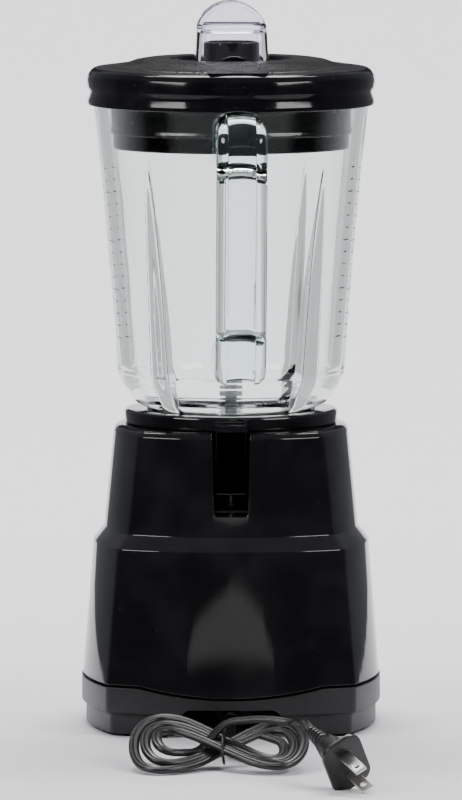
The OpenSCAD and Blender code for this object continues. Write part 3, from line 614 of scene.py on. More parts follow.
MOULDED = moulded_effect()
WORKED_METAL = metal_effect()
PAPER = paper()
LID_FINISH = lid_plastic()
MARK_FINISH = plastic("mark_glaze", (0.3, 0.34, 0.33), 0.2, 0.2, 900, 0.1, 0.0)
FINISHES = {
    "clear_cap": clear("clear_cap", (0.97, 0.965, 1.0), (0.62, 0.58, 0.95), 30, 0.01, 1.49, 0.03),
    "jar_glass": clear("jar_glass", (0.985, 1.0, 0.995), (0.55, 0.9, 0.8), 7, 0.0, 1.5, 0.03),
    "gloss_black": plastic("gloss_black", (0.006, 0.006, 0.007), 0.045, 0.02, 1500, 0.25, 0.12, 0.05),
    "satin_black": plastic("satin_black", (0.01, 0.01, 0.011), 0.36, 0.35, 1300, 0.1, 0.12, 0.08,
                           specular=0.36),
    "seal_rubber": plastic("seal_rubber", (0.006, 0.006, 0.006), 0.22, 0.05, 900, 0.1, 0.05, 0.08),
    "gasket_white": plastic("gasket_white", (0.62, 0.62, 0.58), 0.45, 0.2, 900, 0.1, 0.1, 0.1),
    "foot_rubber": plastic("foot_rubber", (0.02, 0.02, 0.02), 0.7, 0.5, 700, 0.1, 0.5, 0.1),
    "steel": metal("steel", (0.5, 0.51, 0.52), 0.2),
    "screw_steel": metal("screw_steel", (0.5, 0.5, 0.52), 0.3, (300, 300, 300), pits=0.3),
    "lamination": wound("lamination", (0.36, 0.36, 0.38), (0.2, 0.2, 0.21), 900),
    "bracket_metal": metal("bracket_metal", (0.6, 0.61, 0.62), 0.42, (500, 500, 500), 0.2, pits=0.4),
    "copper": wound("copper", (0.75, 0.36, 0.16), (0.45, 0.18, 0.07), 1100),
    "bronze": metal("bronze", (0.62, 0.4, 0.17), 0.35, (500, 500, 500), pits=0.6),
    "carbon": plastic("carbon", (0.03, 0.03, 0.032), 0.5, 0.4, 2000, 0.1, 0.1),
    "brown_plastic": plastic("brown_plastic", (0.2, 0.075, 0.025), 0.4, 0.2, 900, 0.1, 0.1),
    "panel_grey": plastic("panel_grey", (0.055, 0.056, 0.06), 0.3, 0.3, 1300, 0.1, 0.12),
    "button_grey": plastic("button_grey", (0.42, 0.42, 0.44), 0.24, 0.15, 1300, 0.1, 0.08),
    "button_red": plastic("button_red", (0.36, 0.02, 0.02), 0.24, 0.15, 1300, 0.1, 0.08),
    "switch_plastic": plastic("switch_plastic", (0.66, 0.64, 0.56), 0.4, 0.2, 900, 0.1, 0.1),
    "board_green": board("board_green"),
    "cord_black": plastic("cord_black", (0.008, 0.008, 0.0085), 0.3, 0.0, 1100, 0.03, 0.02, 0.05),
    "tie_black": plastic("tie_black", (0.01, 0.01, 0.01), 0.4, 0.3, 1500, 0.1, 0.1),
    "plated": metal("plated", (0.8, 0.78, 0.72), 0.26, (300, 300, 60), 0.08, relief=0.015),
}
SLOTS = {
    "jar_gasket": "gasket_white", "blade_bearing": "bronze",
    "shaft_seal": "seal_rubber", "blade_spindle": "steel", "blade_washer": "steel",
    "blade_nut": "steel", "blade_coupling": "satin_black", "feet": "foot_rubber",
    "base_screws": "screw_steel", "drive_coupling": "satin_black", "shaft_slinger": "seal_rubber",
    "motor_top_bracket": "bracket_metal", "motor_bottom_bracket": "bracket_metal",
    "stator_core": "lamination", "field_coils": "copper", "armature_core": "lamination",
    "armature_windings": "copper", "commutator": "copper", "motor_shaft": "steel",
    "upper_bearing": "steel", "lower_bearing": "steel", "brush_holders": "brown_plastic",
    "carbon_brushes": "carbon", "brush_springs": "steel", "cooling_fan": "satin_black",
    "motor_mounts": "foot_rubber", "motor_spacers": "bracket_metal", "motor_bolts": "screw_steel",
    "mount_screws": "screw_steel", "switch_body": "switch_plastic", "circuit_board": "board_green",
    "cord_clamp": "switch_plastic",
}


# ---- cord --------------------------------------------------------------------------------

LEAD = [(0, -62, 9.4), (0, -66, 9.4), (0, -74, 7.4), (0, -84, 4.8), (-1, -95, 3.4), (-3, -106, 3),
        (-4, -117, 3), (-4, -128, 3.2), (-2, -139, 4.2), (1, -150, 6.5), (6, -158, 10.5),
        (13, -166, 14.5)]
TAIL = [(-4, -184.5, 22), (8, -190, 25.5), (20, -197, 26.6), (31.5, -205, 26.0), (34, -213, 27.8),
        (36, -222, 29), (37.8, -231, 28.6), (40.2, -240.8, 26.4)]
CROSSING = Vector((-4, -184.5, 11))
LEAN = math.radians(20)
TURNS = 3
STRAND = 5.2


def hank_point(t):
    """A point of the figure-of-eight winding: the angle goes round once a turn, crossing at 0 and pi."""
    k = t / (2 * math.pi)
    inner = TURNS - 1 - k
    s, c = math.sin(t), math.cos(t)
    if s < 0:
        x, v = (50 - 5.8 * k) * s, (34 - 6.8 * k) * 2 * s * c
    else:
        x, v = (40 - 5 * inner) * s, (22 - 4.4 * inner) * 2 * s * c
    side = (k - (TURNS - 1) / 2) * STRAND
    v += side * c * c * (1 if c > 0 else -1)
    lift = -2.6 * c * c * c + (k - (TURNS - 1) / 2) * 2.4 * s * s
    z = CROSSING.z + v * math.sin(LEAN) + lift * math.cos(LEAN)
    above = z - 2.2
    return Vector((CROSSING.x + x, CROSSING.y + v * math.cos(LEAN) - lift * math.sin(LEAN),
                   2.2 + (above + math.sqrt(above * above + 6)) / 2))


def smooth_run(points, step):
    """Even points, a step apart, along the smooth curve through the given ones."""
    ends = [2 * points[0] - points[1]] + points + [2 * points[-1] - points[-2]]
    fine = []
    for p0, p1, p2, p3 in zip(ends, ends[1:], ends[2:], ends[3:]):
        for i in range(12):
            t = i / 12
            fine.append(0.5 * (2 * p1 + (p2 - p0) * t + (2 * p0 - 5 * p1 + 4 * p2 - p3) * t * t
                               + (3 * p1 - p0 - 3 * p2 + p3) * t ** 3))
    fine.append(points[-1])
    total = sum((b - a).length for a, b in zip(fine, fine[1:]))
    count = round(total / step)
    even, walked, at = [fine[0]], 0.0, 0
    for i in range(1, count):
        goal = total * i / count
        while walked + (fine[at + 1] - fine[at]).length < goal:
            walked += (fine[at + 1] - fine[at]).length
            at += 1
        even.append(fine[at].lerp(fine[at + 1], (goal - walked) / (fine[at + 1] - fine[at]).length))
    return even + [fine[-1]], total


def make_cord():
    """The flat twin lead: out of the base, round the tied winding and into the plug."""
    first, last = 1.0, 2 * math.pi * TURNS - 0.35
    winding = [hank_point(first + (last - first) * i / 60) for i in range(61)]
    route = [Vector(p) for p in LEAD] + winding + [Vector(p) for p in TAIL]
    line, total = smooth_run(route, 2.0)
    tilt = Vector((0, -math.sin(LEAN), math.cos(LEAN)))
    outline = [(1.25 + 1.5 * math.cos(math.radians(a)), 1.5 * math.sin(math.radians(a)))
               for a in range(-125, 126, 25)]
    outline += [(-x, -y) for x, y in outline]
    rings = []
    for i, p in enumerate(line):
        ahead = (line[min(i + 1, len(line) - 1)] - line[max(i - 1, 0)]).normalized()
        share = min(1, max(0, (i - 42) / 12)) * min(1, max(0, (len(line) - 12 - i) / 12))
        up = Vector((0, 0, 1)).lerp(tilt, share)
        wide = ahead.cross(up).normalized()
        thick = wide.cross(ahead)
        rings.append([p + wide * x + thick * y for x, y in outline])
    obj = solid(loft(rings))
    settle(obj, "mains_lead", "base", "cord_black", ("power_cord", "cord_hank", "cord_tail"), angle=60)
    return obj, [p * MM for p in line], total * MM


def wire(run, r):
    """A round wire along a run of points."""
    rings = []
    for i, p in enumerate(run):
        ahead = (run[min(i + 1, len(run) - 1)] - run[max(i - 1, 0)]).normalized()
        side = ahead.cross(Vector((1, 0, 0))).normalized()
        over = side.cross(ahead)
        rings.append([p + side * (r * math.cos(b)) + over * (r * math.sin(b))
                      for b in [math.pi * j / 5 for j in range(10)]])
    return solid(loft(rings))


def make_tie():
    """Wire tie: one turn of thin wire round the crossing, its two ends twisted together."""
    run = []
    for i in range(81):
        t = math.radians(-172 + 344 * i / 80)
        v, n = -13.4 * math.cos(t), 6.6 * math.sin(t)
        run.append(CROSSING + Vector((0.5 * math.sin(2 * t), -v * math.cos(LEAN) - n * math.sin(LEAN),
                                      -v * math.sin(LEAN) + n * math.cos(LEAN))))
    band = wire(run, 0.75)
    foot = (run[0] + run[-1]) / 2
    ends = []
    for side in (0, math.pi):
        twist = []
        for i in range(50):
            t = i / 49
            a = side + math.pi / 2 + 11 * t
            spread = 0.75 + 2.2 * max(0, t - 0.7)
            at = foot + Vector((-1 - 5 * t, -1.0 - 4.5 * t, 0.4 - 2.6 * t))
            at += Vector((0.5 * math.cos(a) * spread, 0.7 * math.cos(a) * spread, math.sin(a) * spread))
            at.z = max(at.z, 1.1)
            twist.append(at)
        ends.append(wire(twist, 0.7))
    combine(band, "UNION", *ends)
    return settle(band, "wire_tie", "base", "tie_black", ("cord_tie",), angle=50)


# ---- plug and strain relief --------------------------------------------------------------

PLUG = Matrix.Translation((58.5, -269, 13.5)) @ Euler(
    [math.radians(a) for a in (-58, 21, -57)], "XYZ").to_matrix().to_4x4()
BACKWARDS = Matrix.Rotation(math.radians(-90), 4, "Y")


def make_plug():
    """Moulded plug: rounded flange, waisted grip with finger ribs, and a ribbed relief for the lead."""
    body = []
    for z, w, d, r in ((0, 21, 29.4, 6), (0.3, 22.2, 30.6, 6.6), (0.8, 22.5, 31, 7), (2.4, 22.5, 31, 7),
                       (3.2, 21.4, 29.8, 6.6), (3.6, 18, 26, 6.5), (4.2, 15, 22.6, 6), (9, 13.6, 20, 6),
                       (15, 12.6, 17.5, 5.6), (20, 11, 14, 5), (22, 9.8, 11.5, 4.6), (23, 9, 10, 4.3)):
        body.append([(x, y, z) for x, y in rounded_box(w, d, r)])
    grip = solid(turn(loft(body), PLUG @ BACKWARDS))
    relief = [(0, 20)]
    for i in range(5):
        z, r = 22.5 + i * 2.7, 5.4 - 0.42 * i
        relief += [(r - 0.9, z), (r, z + 0.35), (r, z + 1.5), (r - 0.9, z + 1.85)]
    relief += [(2.9, 36), (0, 36)]
    tail = spun(relief, 40, closed=False)
    bmesh.ops.scale(tail, vec=(0.82, 1.1, 1), verts=tail.verts)
    combine(grip, "UNION", solid(turn(tail, PLUG @ BACKWARDS)))
    grooves = []
    for z in (8, 11, 14):
        for side in (1, -1):
            cut = rod(1.0, -5, 5, 16)
            turn(cut, Matrix.Translation((side * 7.6, 0, z)) @ Matrix.Rotation(math.radians(90), 4, "X"))
            grooves.append(solid(turn(cut, PLUG @ BACKWARDS)))
    for side in (1, -1):
        cut = slab((-3.25, side * 6.35 - 0.8, -1), (3.25, side * 6.35 + 0.8, 9))
        grooves.append(solid(turn(cut, PLUG @ BACKWARDS)))
    combine(grip, "DIFFERENCE", *grooves)
    plug = settle(grip, "plug_grip", "base", "cord_black", ("plug_body",), edge=0.25)
    blades = None
    for side in (1, -1):
        blade = slab((-8, side * 6.35 - 0.75, -3.15), (17, side * 6.35 + 0.75, 3.15))
        tips = [e for e in blade.edges if all(v.co.x > 16.9 for v in e.verts)]
        ease(blade, tips, 0.6, 3)
        blade = solid(turn(blade, PLUG))
        hole = rod(1.6, -4, 4, 28)
        turn(hole, Matrix.Translation((12.5, side * 6.35, 0)) @ Matrix.Rotation(math.radians(90), 4, "X"))
        combine(blade, "DIFFERENCE", solid(turn(hole, PLUG)))
        blades = combine(blades, "UNION", blade) if blades else blade
    pins = settle(blades, "plug_pins", "base", "plated", ("plug_blades",), edge=0.12)
    return plug, pins


def make_relief():
    """Tapered strain relief with flex slots, its collar clamped in the skirt."""
    profile = [(0, 27), (3.3, 27), (3.3, 31.4), (5.3, 31.4), (5.3, 33.4), (4.2, 33.4), (4.2, 36.1),
               (5.3, 36.1), (5.3, 38), (4.8, 38.4)]
    for i in range(6):
        y = 40 + i * 3.5
        r = 4.8 - 0.055 * (y - 38.4)
        profile += [(r, y), (r - 0.7, y + 0.4), (r - 0.7, y + 1.3), (r, y + 1.7)]
    profile += [(3.5, 61.3), (3.1, 62), (0, 62)]
    relief = across(spun(profile, 48, closed=False))
    bmesh.ops.translate(relief, vec=(0, 0, 9.4), verts=relief.verts)
    return settle(solid(relief), "strain_sleeve", "base", "cord_black", ("strain_relief",), angle=40)


# ---- housing, skirt and collar -----------------------------------------------------------

BOW = 14
BASE_H = 159.5
WELL_R = 46.5
ARC_Z = 232.4


def bowed(w, corner, z, side_steps=22, corner_steps=8):
    """Outline of the base: four bowed sides at half width w, joined by round corners."""
    r = ((w - BOW) ** 2 + BOW ** 2) / (2 * BOW)
    out = w - r
    k = (out + math.sqrt(2 * (r - corner) ** 2 - out ** 2)) / 2
    a = math.atan2(k, k - out)
    line = []
    for q in range(4):
        spin = Matrix.Rotation(q * math.pi / 2, 3, "Z")
        for i in range(side_steps + 1):
            t = -a + 2 * a * i / side_steps
            line.append(spin @ Vector((out + r * math.cos(t), r * math.sin(t), z)))
        for i in range(1, corner_steps):
            t = a + (math.pi / 2 - 2 * a) * i / corner_steps
            line.append(spin @ Vector((k + corner * math.cos(t), k + corner * math.sin(t), z)))
    return line


def bowed_loft(sections, reach=1.4):
    """A solid through bowed outlines given as (height, half width, corner), its steps softened."""
    corners = {z: c for z, w, c in sections}
    heights = sorted(corners)

    def corner_at(z):
        for low, high in zip(heights, heights[1:]):
            if z <= high:
                return corners[low] + (corners[high] - corners[low]) * max(0, z - low) / (high - low)
        return corners[heights[-1]]

    line = filleted([(w, z) for z, w, c in sections], [reach] * len(sections), 4) if reach else [
        (w, z) for z, w, c in sections]
    return loft([bowed(w, corner_at(z), z) for w, z in line])


def seam_tool(flat, arc_r):
    """Everything under the seam: flat at the sides, with a wide arc dipping across front and back."""
    half = math.sqrt(arc_r ** 2 - (ARC_Z - flat) ** 2)
    arc = [(half - 2 * half * i / 40, 0) for i in range(41)]
    arc = [(x, ARC_Z - math.sqrt(arc_r ** 2 - x * x)) for x, z in arc]
    outline = [(-120, -5), (120, -5), (120, flat)] + arc + [(-120, flat)]
    tool = across(prism(outline, -120, 120))
    return solid(tool)


def above_seam(flat, arc_r):
    half = math.sqrt(arc_r ** 2 - (ARC_Z - flat) ** 2)
    arc = [(-half + 2 * half * i / 40) for i in range(41)]
    outline = [(-120, 60), (-120, flat)] + [(x, ARC_Z - math.sqrt(arc_r ** 2 - x * x)) for x in arc]
    return solid(across(prism(outline + [(120, flat), (120, 60)], -120, 120)))


def slot_tool(grow, back, deep):
    outline = [(-8.75 - grow, 116 - grow), (8.75 + grow, 116 - grow), (10 + grow, BASE_H + 2),
               (-10 - grow, BASE_H + 2)]
    outline = fillet_ring(outline, [1.5, 1.5, 0, 0], 3)
    return solid(across(prism(outline, back, deep)))


def make_housing():
    walls = [(19.4, 79.2, 6), (98, 72.9, 8), (105, 67.3, 9), (156, 62.2, 10), (158.4, 61.1, 9.5),
             (BASE_H, 58.4, 8)]
    shell = solid(bowed_loft(walls, 1.5))
    inner = [(18, 76.4, 6), (98, 69.9, 8), (105, 64.3, 9), (BASE_H - 3, 59, 10)]
    combine(shell, "DIFFERENCE", solid(bowed_loft(inner, 0)), seam_tool(27.2, 210.8))
    lining = solid(rod(WELL_R + 2.5, 138.5, BASE_H - 1, 120))
    chute = slot_tool(2.2, 48.5, 80)
    combine(chute, "INTERSECT", solid(bowed_loft([(100, 66.8, 9), (156, 61.2, 10), (BASE_H - 1, 58, 9)], 0)))
    combine(shell, "UNION", lining, chute)
    combine(shell, "DIFFERENCE", solid(rod(WELL_R, 141.5, 190, 160)), solid(rod(11, 130, 150, 64)),
            slot_tool(0, 30, 90), *[button_window(i) for i in range(-3, 4)])
    return settle(shell, "housing_shell", "base", "gloss_black", ("motor_housing",), edge=0.45)


def make_skirt():
    outer = [(1.5, 76.9, 5), (10, 76.9, 5), (11.5, 77.5, 5), (13, 79.2, 5), (26, 79.2, 5)]
    skirt = solid(bowed_loft(outer, 0.9))
    inner = [(4, 73.9, 4), (30, 73.9, 4)]
    combine(skirt, "DIFFERENCE", solid(bowed_loft(inner, 0)), above_seam(26, 212))
    lip = solid(bowed_loft([(4, 74.7, 4), (32, 74.7, 4)], 0))
    combine(lip, "DIFFERENCE", solid(bowed_loft([(3, 72.7, 4), (33, 72.7, 4)], 0)))
    walls = solid(across(prism(recess_outline(2.5), 33.5, 90)))
    combine(walls, "INTERSECT", solid(bowed_loft([(1.5, 76.4, 5), (18.4, 76.4, 5)], 0)))
    combine(skirt, "UNION", lip, walls, *bosses(37, 7, 23.0), *bosses(49.9, 5, 32.0))
    cuts = [solid(across(prism(recess_outline(0), 36, 95))), solid(across(prism(notch_outline(), 60, 100)))]
    exit_hole = across(rod(4.3, 28, 40, 40))
    bmesh.ops.translate(exit_hole, vec=(0, 0, 9.4), verts=exit_hole.verts)
    cuts.append(solid(exit_hole))
    for sx in (1, -1):
        for sy in (1, -1):
            cuts += [post(sx * 49.9, sy * 49.9, 2.2, 0, 40), post(sx * 49.9, sy * 49.9, 4.2, 0, 4.5),
                     post(sx * 54, sy * 36, 8, 0, 3), post(sx * 37, sy * 37, 2, 2, 40)]
    for i in range(12):
        vent = turn(slab((20, -1.5, 0), (29, 1.5, 6)), Matrix.Rotation(math.radians(30 * i), 4, "Z"))
        cuts.append(solid(vent))
    combine(skirt, "DIFFERENCE", *cuts)
    return settle(skirt, "base_skirt", "base", "satin_black", ("base_pan",), edge=0.35)


def post(x, y, r, low, high):
    bm = rod(r, low, high, 36)
    bmesh.ops.translate(bm, vec=(x, y, 0), verts=bm.verts)
    return solid(bm)


def bosses(place, r, high):
    return [post(sx * place, sy * place, r, 2.5, high) for sx in (1, -1) for sy in (1, -1)]


def recess_outline(grow):
    return [(-26 - grow, -1), (26 + grow, -1), (26 + grow, 11.4 + grow), (22 + grow, 15.4 + grow),
            (-22 - grow, 15.4 + grow), (-26 - grow, 11.4 + grow)]


def notch_outline():
    half = [(31.5, -1), (30.5, 6), (28.5, 9.6), (26, 12.4), (24.2, 14.2), (22, 15.4)]
    return half + [(-x, z) for x, z in reversed(half)]


def make_collar():
    """Screw collar under the jar with its locating tongue, scooped out for a thumb."""
    profile = fillet_ring([(38, 144.5), (46, 144.5), (46, 159.8), (56.4, 159.8), (56.4, 167.2),
                           (44.3, 167.2), (44.3, 148), (38, 148)],
                          [0.4, 0.6, 0.3, 0.8, 1.8, 0.4, 0.3, 0.4], 4)
    collar = solid(spun(profile, 200))
    tongue = solid(slab((-8, -60.4, 126.8), (8, -52.4, 163.5), 0.7))
    combine(collar, "UNION", tongue)
    scoop = rod(10, 129.8, 159.5, 72)
    bmesh.ops.translate(scoop, vec=(0, -67.4, 0), verts=scoop.verts)
    combine(collar, "DIFFERENCE", solid(scoop))
    return settle(collar, "jar_ring", "jar_base", "gloss_black", ("jar_collar",), edge=0.3)


# ---- jar ---------------------------------------------------------------------------------

GLASS = 7
RIM_Z = 344
SIDE_Z = 190
RIB_TOP = 297
TURN = 3


def jar_r(z):
    t = (z - SIDE_Z) / (RIM_Z - SIDE_Z)
    return 60.4 + 12.2 * min(1, t / 0.87) - 0.8 * math.sin(math.pi * min(1, max(0, t)))


def step(value):
    value = min(1, max(0, value))
    return value * value * (3 - 2 * value)


def make_jar():
    """Glass jar: turned wall with four ribs standing in, and a loop handle."""
    outer = [(44, 153), (44, 167.5), (51.05, 171), (53.8, 175), (58.6, 182.6), (60, 186)]
    outer += [(jar_r(z), z) for z in [SIDE_Z + i * (RIM_Z - 2 - SIDE_Z) / 26 for i in range(27)]]
    outer += [(72.3, 343.4), (71.4, RIM_Z)]
    outer = filleted(outer, [0, 1.2, 5, 6, 6, 4] + [0] * 40, 4)
    inner = [(66.9, RIM_Z), (65.8, 343.3)]
    inner += [(jar_r(z) - GLASS, z) for z in [RIM_Z - 2 - i * (RIM_Z - 192) / 56 for i in range(57)]]
    inner += [(53, 188), (52.4, 185.5), (50.6, 181.5), (48.4, 177.5), (46, 173.5), (43.2, 170.7),
              (40, 168.8), (37.6, 167.6), (37, 166.2), (37, 153)]
    profile = outer + inner
    shell = spun(profile, 440, mark=range(len(outer), len(profile)))
    layer = shell.verts.layers.int["marked"]
    for v in shell.verts:
        r, z, a = math.hypot(v.co.x, v.co.y), v.co.z, math.atan2(v.co.y, v.co.x)
        a += 0.15 * math.sin(4 * a)
        drop = 0
        if v[layer] and 168.5 < z < RIB_TOP:
            down = min(1, (RIB_TOP - z) / (RIB_TOP - SIDE_Z))
            depth = 9.3 * (1 - (1 - down) ** 1.7) if z > 186 else max(0, r - 42.5 + 3.5 * (186 - z) / 17)
            half = 5.4 * down ** 0.4
            around = abs((math.degrees(a) + 45) % 90 - 45)
            around = math.radians(45 - around)
            drop = depth * step(1 - around * r / half)
        v.co.x, v.co.y = (r - drop) * math.cos(a), (r - drop) * math.sin(a)
    jar = solid(shell)
    top_in, low_in = jar_r(320) - 3.5, jar_r(200) - 3.5
    loop = filleted([(top_in, 326), (116, 326), (103, 187.5), (low_in, 187.5)], [0, 15, 15, 0], 8)
    hole = filleted([(low_in, 209), (93.5, 209), (103.5, 300), (top_in, 300)], [0, 9, 9, 0], 8)
    handle = across(prism([(y, z) for y, z in loop + hole], -13.25, 13.25))
    turn(handle, Matrix.Rotation(math.radians(-90), 4, "Z"))
    for i in range(-3, 4):
        bmesh.ops.bisect_plane(handle, geom=handle.verts[:] + handle.edges[:] + handle.faces[:],
                               plane_co=(2.4 * i, 0, 0), plane_no=(1, 0, 0))
    for v in handle.verts:
        crown = 1 - (v.co.x / 13.25) ** 2
        v.co.z += 3.2 * crown * (1 if v.co.z > 250 else 0.8)
        if v.co.y < -92:
            v.co.y -= 1.2 * crown
    rims = [e for e in handle.edges if abs(abs(e.verts[0].co.x) - 13.25) < 0.01
            and abs(e.verts[0].co.x - e.verts[1].co.x) < 0.01
            and not all(abs(v.co.y) < 69.5 for v in e.verts)]
    ease(handle, rims, 5.8, 8)
    combine(jar, "UNION", solid(handle))
    return settle(jar, "glass_jar", "jar", "jar_glass", ("jar",), angle=38, turned=TURN)


# ---- lid and cap -------------------------------------------------------------------------

def make_lid():
    profile = [(16, 329.3), (16, 361.3), (14.2, 361.3), (14.2, 327.3), (24.5, 327.3), (24.5, 345.8),
               (44, 345.8), (52, 344.3), (60, 344.3), (60, 306), (62.5, 306),
               (62.5, 344.3), (73.2, 344.3), (73.2, 328), (75.7, 328), (75.9, 330.2), (74.5, 334.4),
               (75.8, 337.5), (76.3, 341), (75.6, 344), (74.1, 346.3), (72.3, 347.5), (64.5, 348.1),
               (63.8, 348.6), (57.5, 349.2), (55.5, 349.8), (50.5, 351.6), (45.6, 352.4),
               (31, 352.4), (30.2, 352.2), (29, 349.7), (28.4, 349.3), (22.5, 349.3), (22.5, 329.3)]
    radii = [0.6, 0.8, 0.8, 1, 1, 1, 1, 1, 0.5, 1, 1, 0.4, 0.6, 0.3, 0.8, 1.2, 2.5, 2.5, 2, 2, 2, 2, 0.5, 0.5, 2, 1, 2,
             1.5, 0.6, 0.4, 0.4, 0.3, 0.8, 0.6]
    lid = solid(spun(fillet_ring(profile, radii, 4), 240))
    patch = [(x, y, z) for z in (346.9, 348.75) for x, y in rounded_box(31, 9.4, 2)]
    half = len(patch) // 2
    tab = solid(turn(loft([patch[:half], patch[half:]]), Matrix.Translation((0, -67.2, 0))))
    lug = across(prism([(8.7 * math.cos(math.pi * i / 24), 349 + 6 * math.sin(math.pi * i / 24))
                        for i in range(25)], 22.9, 28.4))
    ease(lug, [e for e in lug.edges if abs(e.verts[0].co.y - e.verts[1].co.y) < 0.01
               and max(v.co.z for v in e.verts) > 349.3], 0.9, 3)
    combine(lid, "UNION", tab, solid(lug))
    return settle(lid, "lid_shell", "lid", "gloss_black", ("lid",), edge=0.25, turned=TURN,
                  finish=LID_FINISH)


def make_seal():
    """Soft sleeve on the lid's skirt, with a rolled lip at each end."""
    profile = fillet_ring([(62.5, 314), (63.6, 314), (64, 315.4), (63.4, 317), (63.4, 326), (64, 327.6),
                           (63.6, 329), (62.5, 329)], [0.1, 0.5, 0.6, 0.8, 0.8, 0.6, 0.5, 0.1], 3)
    return settle(solid(spun(profile, 200)), "seal_sleeve", "lid", "seal_rubber", ("lid_seal",))


def make_marks():
    """Fill marks down both sides of the jar: short raised bars of glass, every fifth one longer."""
    marks = []
    for side, lean in ((195, 1), (-15, -1)):
        for i in range(15):
            z = 206 + i * 6.4
            long = 3.4 if i % 4 == 0 else 2.0
            r = jar_r(z)
            bar = slab((r - 0.5, -long, z - 0.35), (r + 0.35, long, z + 0.35), 0.2)
            marks.append(solid(turn(bar, Matrix.Rotation(math.radians(side), 4, "Z"))))
    first = marks.pop(0)
    return settle(combine(first, "UNION", *marks), "fill_marks", "jar", "jar_glass", turned=TURN,
                  finish=MARK_FINISH)


def cap_solid(inset):
    """The filler cap's outline, moved in by inset: cup, arched grip and sleeve."""
    cup = []
    for z, w in ((349.8, 39.2), (351, 38.9), (356, 38.1), (366.5 - inset, 37), (368.6 - inset, 36.4),
                 (369.8 - inset, 34.6)):
        cup.append([(x, y, z) for x, y in rounded_box(w - 2 * inset, w - 1 - 2 * inset, 8 - inset)])
    body = solid(loft(cup))
    half, rise = 18.3 - inset, 13 - inset
    r = (half ** 2 + rise ** 2) / (2 * rise)
    reach = math.asin(half / r)
    arch = [((r * math.sin(reach - 2 * reach * i / 30)), 369.8 + rise - r + r * math.cos(reach - 2 * reach * i / 30))
            for i in range(31)]
    depth = 8 - inset
    grip = across(prism([(half, 364)] + arch + [(-half, 364)], -depth, depth))
    if inset == 0:
        ease(grip, [e for e in grip.edges if abs(abs(e.verts[0].co.y) - depth) < 0.01
                    and abs(e.verts[0].co.y - e.verts[1].co.y) < 0.01], 1.2, 3)
    combine(body, "UNION", solid(grip), solid(rod(22.2 - inset, 329.8 - inset, 351, 96)))
    return body


def make_cap():
    cap = combine(cap_solid(0), "DIFFERENCE", cap_solid(2.5))
    return settle(cap, "measuring_cap", "cap", "clear_cap", ("filler_cap",), edge=0.3, turned=TURN)


# ---- blades ------------------------------------------------------------------------------

def make_blade(name, node_name, reach, lift, z, turned_by, width):
    """A stamped blade: flat middle, arms bent up on a radius and sharpened towards curved tips."""
    bm = bmesh.new()
    bmesh.ops.create_grid(bm, x_segments=48, y_segments=6, size=1)
    root, bend = 11.0, math.radians(lift)
    for v in bm.verts:
        along, side = v.co.x * (12 + reach), v.co.y
        out = abs(along)
        share = max(0, out - root) / (reach + 12 - root)
        taper = width / 2 * (1 - 0.62 * step(share)) if side > 0 else width / 2 * (1 - 0.78 * step(share))
        angle = bend * step((out - root) / 5)
        beyond = max(0, out - root)
        x = min(out, root) + beyond * math.cos(angle)
        lift_z = beyond * math.sin(angle)
        sign = 1 if along >= 0 else -1
        v.co = (sign * x, sign * (side * taper + 1.2 * share * share), lift_z)
    bmesh.ops.recalc_face_normals(bm, faces=bm.faces)
    bmesh.ops.solidify(bm, geom=bm.faces, thickness=-1.4)
    bmesh.ops.recalc_face_normals(bm, faces=bm.faces)
    bmesh.ops.rotate(bm, cent=(0, 0, 0), matrix=Matrix.Rotation(math.radians(turned_by), 3, "Z"), verts=bm.verts)
    bmesh.ops.translate(bm, vec=(0, 0, z), verts=bm.verts)
    blade = combine(solid(bm), "DIFFERENCE", solid(rod(3.3, z - 4, z + 4, 32)))
    return settle(blade, name, "blades", "steel", (node_name,), edge=0.2)


def make_blade_plate():
    """Pressed steel dome that closes the jar and carries the blades' bearing."""
    profile = [(8, 158), (19, 158), (19, 148), (43, 148), (43, 150.5), (34, 150.5), (32.4, 152.6),
               (31, 157.5), (28.5, 159), (17, 162.5), (14.6, 164), (13, 169.5), (8, 169.5)]
    radii = [0, 0, 0, 0.5, 0.6, 1, 1.6, 2, 1.5, 2.5, 1.5, 0.8, 0]
    plate = solid(spun(fillet_ring(profile, radii, 4), 144))
    return settle(plate, "blade_dome", "jar_base", "steel", ("blade_base",), edge=0.2)


# ---- controls ----------------------------------------------------------------------------

def face_y(x, z):
    w = 79.2 - (z - 19.4) * (79.2 - 72.9) / (98 - 19.4)
    r = ((w - BOW) ** 2 + BOW ** 2) / (2 * BOW)
    return w - r + math.sqrt(r * r - x * x)


def button_window(i):
    bm = prism([(x + 13 * i, y) for x, y in rounded_box(11.2, 20.7, 2)], 45, 95)
    tool = turn(bm, Matrix(((1, 0, 0, 0), (0, 0, 1, 0), (0, 1, 0, 64), (0, 0, 0, 1))))
    bmesh.ops.recalc_face_normals(tool, faces=tool.faces)
    return solid(tool)


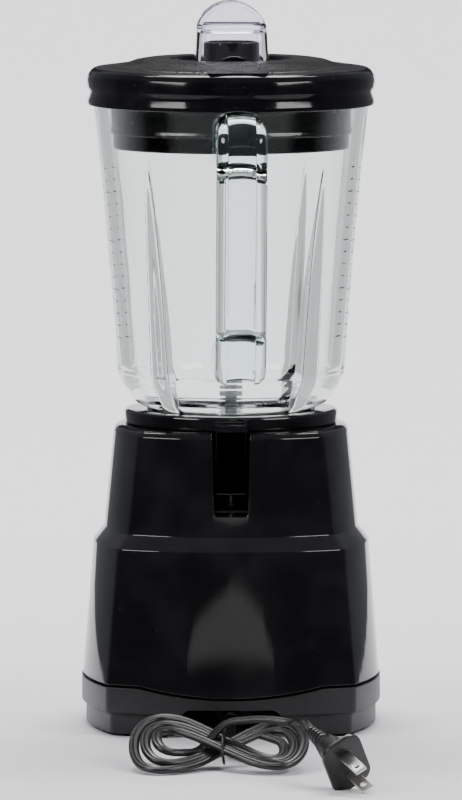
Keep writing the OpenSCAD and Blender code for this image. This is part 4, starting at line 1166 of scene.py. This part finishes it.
def make_panel():
    skin = solid(bowed_loft([(25, 79.95, 6), (98, 74.1, 8)], 0))
    frame_bm = prism(rounded_box(102, 52, 6), 30, 90)
    turn(frame_bm, Matrix(((1, 0, 0, 0), (0, 0, 1, 0), (0, 1, 0, 66), (0, 0, 0, 1))))
    bmesh.ops.recalc_face_normals(frame_bm, faces=frame_bm.faces)
    combine(skin, "INTERSECT", solid(frame_bm))
    combine(skin, "DIFFERENCE", solid(bowed_loft([(19.4, 79.2, 6), (98, 72.9, 8), (100, 71.3, 8)], 0)),
            *[button_window(i) for i in range(-3, 4)])
    return settle(skin, "button_panel", "base", "panel_grey", ("control_panel",), edge=0.3)


def make_button(i):
    x = 13 * i
    front = face_y(x, 58.7) + 5.4
    rings = []
    for y, inset in ((front - 9, 0), (front - 1.6, 0), (front - 0.7, 0.25), (front - 0.2, 0.8),
                     (front, 1.7)):
        rings.append([(x + px, y, 64 + pz) for px, pz in rounded_box(10.5 - 2 * inset, 20 - 2 * inset, 2)])
    cap = loft(rings)
    hollow = [f for f in cap.faces if all(v.co.y > front - 0.01 for v in f.verts)]
    bmesh.ops.inset_region(cap, faces=hollow, thickness=1.0, depth=-0.5)
    bmesh.ops.recalc_face_normals(cap, faces=cap.faces)
    cap = solid(cap)
    stem = rod(2.5, 61.4, front - 8, 32)
    turn(stem, Matrix(((1, 0, 0, x), (0, 0, 1, 0), (0, 1, 0, 64), (0, 0, 0, 1))))
    bmesh.ops.recalc_face_normals(stem, faces=stem.faces)
    combine(cap, "UNION", solid(stem))
    name = f"button_{i + 4}"
    slot = "button_red" if i == -3 else "button_grey"
    return settle(cap, f"key_{i + 4}", name, slot, (name,), edge=0.15, angle=50)


# ---- assembly ----------------------------------------------------------------------------

make_camera()
lead, lead_path, lead_length = make_cord()
tie = make_tie()
plug_grip, plug_pins = make_plug()
relief = make_relief()
make_studio()
for name, slot in SLOTS.items():
    nodes[name].data.materials.clear()
    nodes[name].data.materials.append(FINISHES[slot])
make_housing()
make_skirt()
make_collar()
make_jar()
make_marks()
make_lid()
make_seal()
make_cap()
make_blade("low_blade", "lower_blade", 14.5, 12, 172.5, 70, 13)
make_blade("high_blade", "upper_blade", 22.5, 58, 175.5, -15, 13)
make_blade_plate()
make_panel()
for i in range(-3, 4):
    make_button(i)
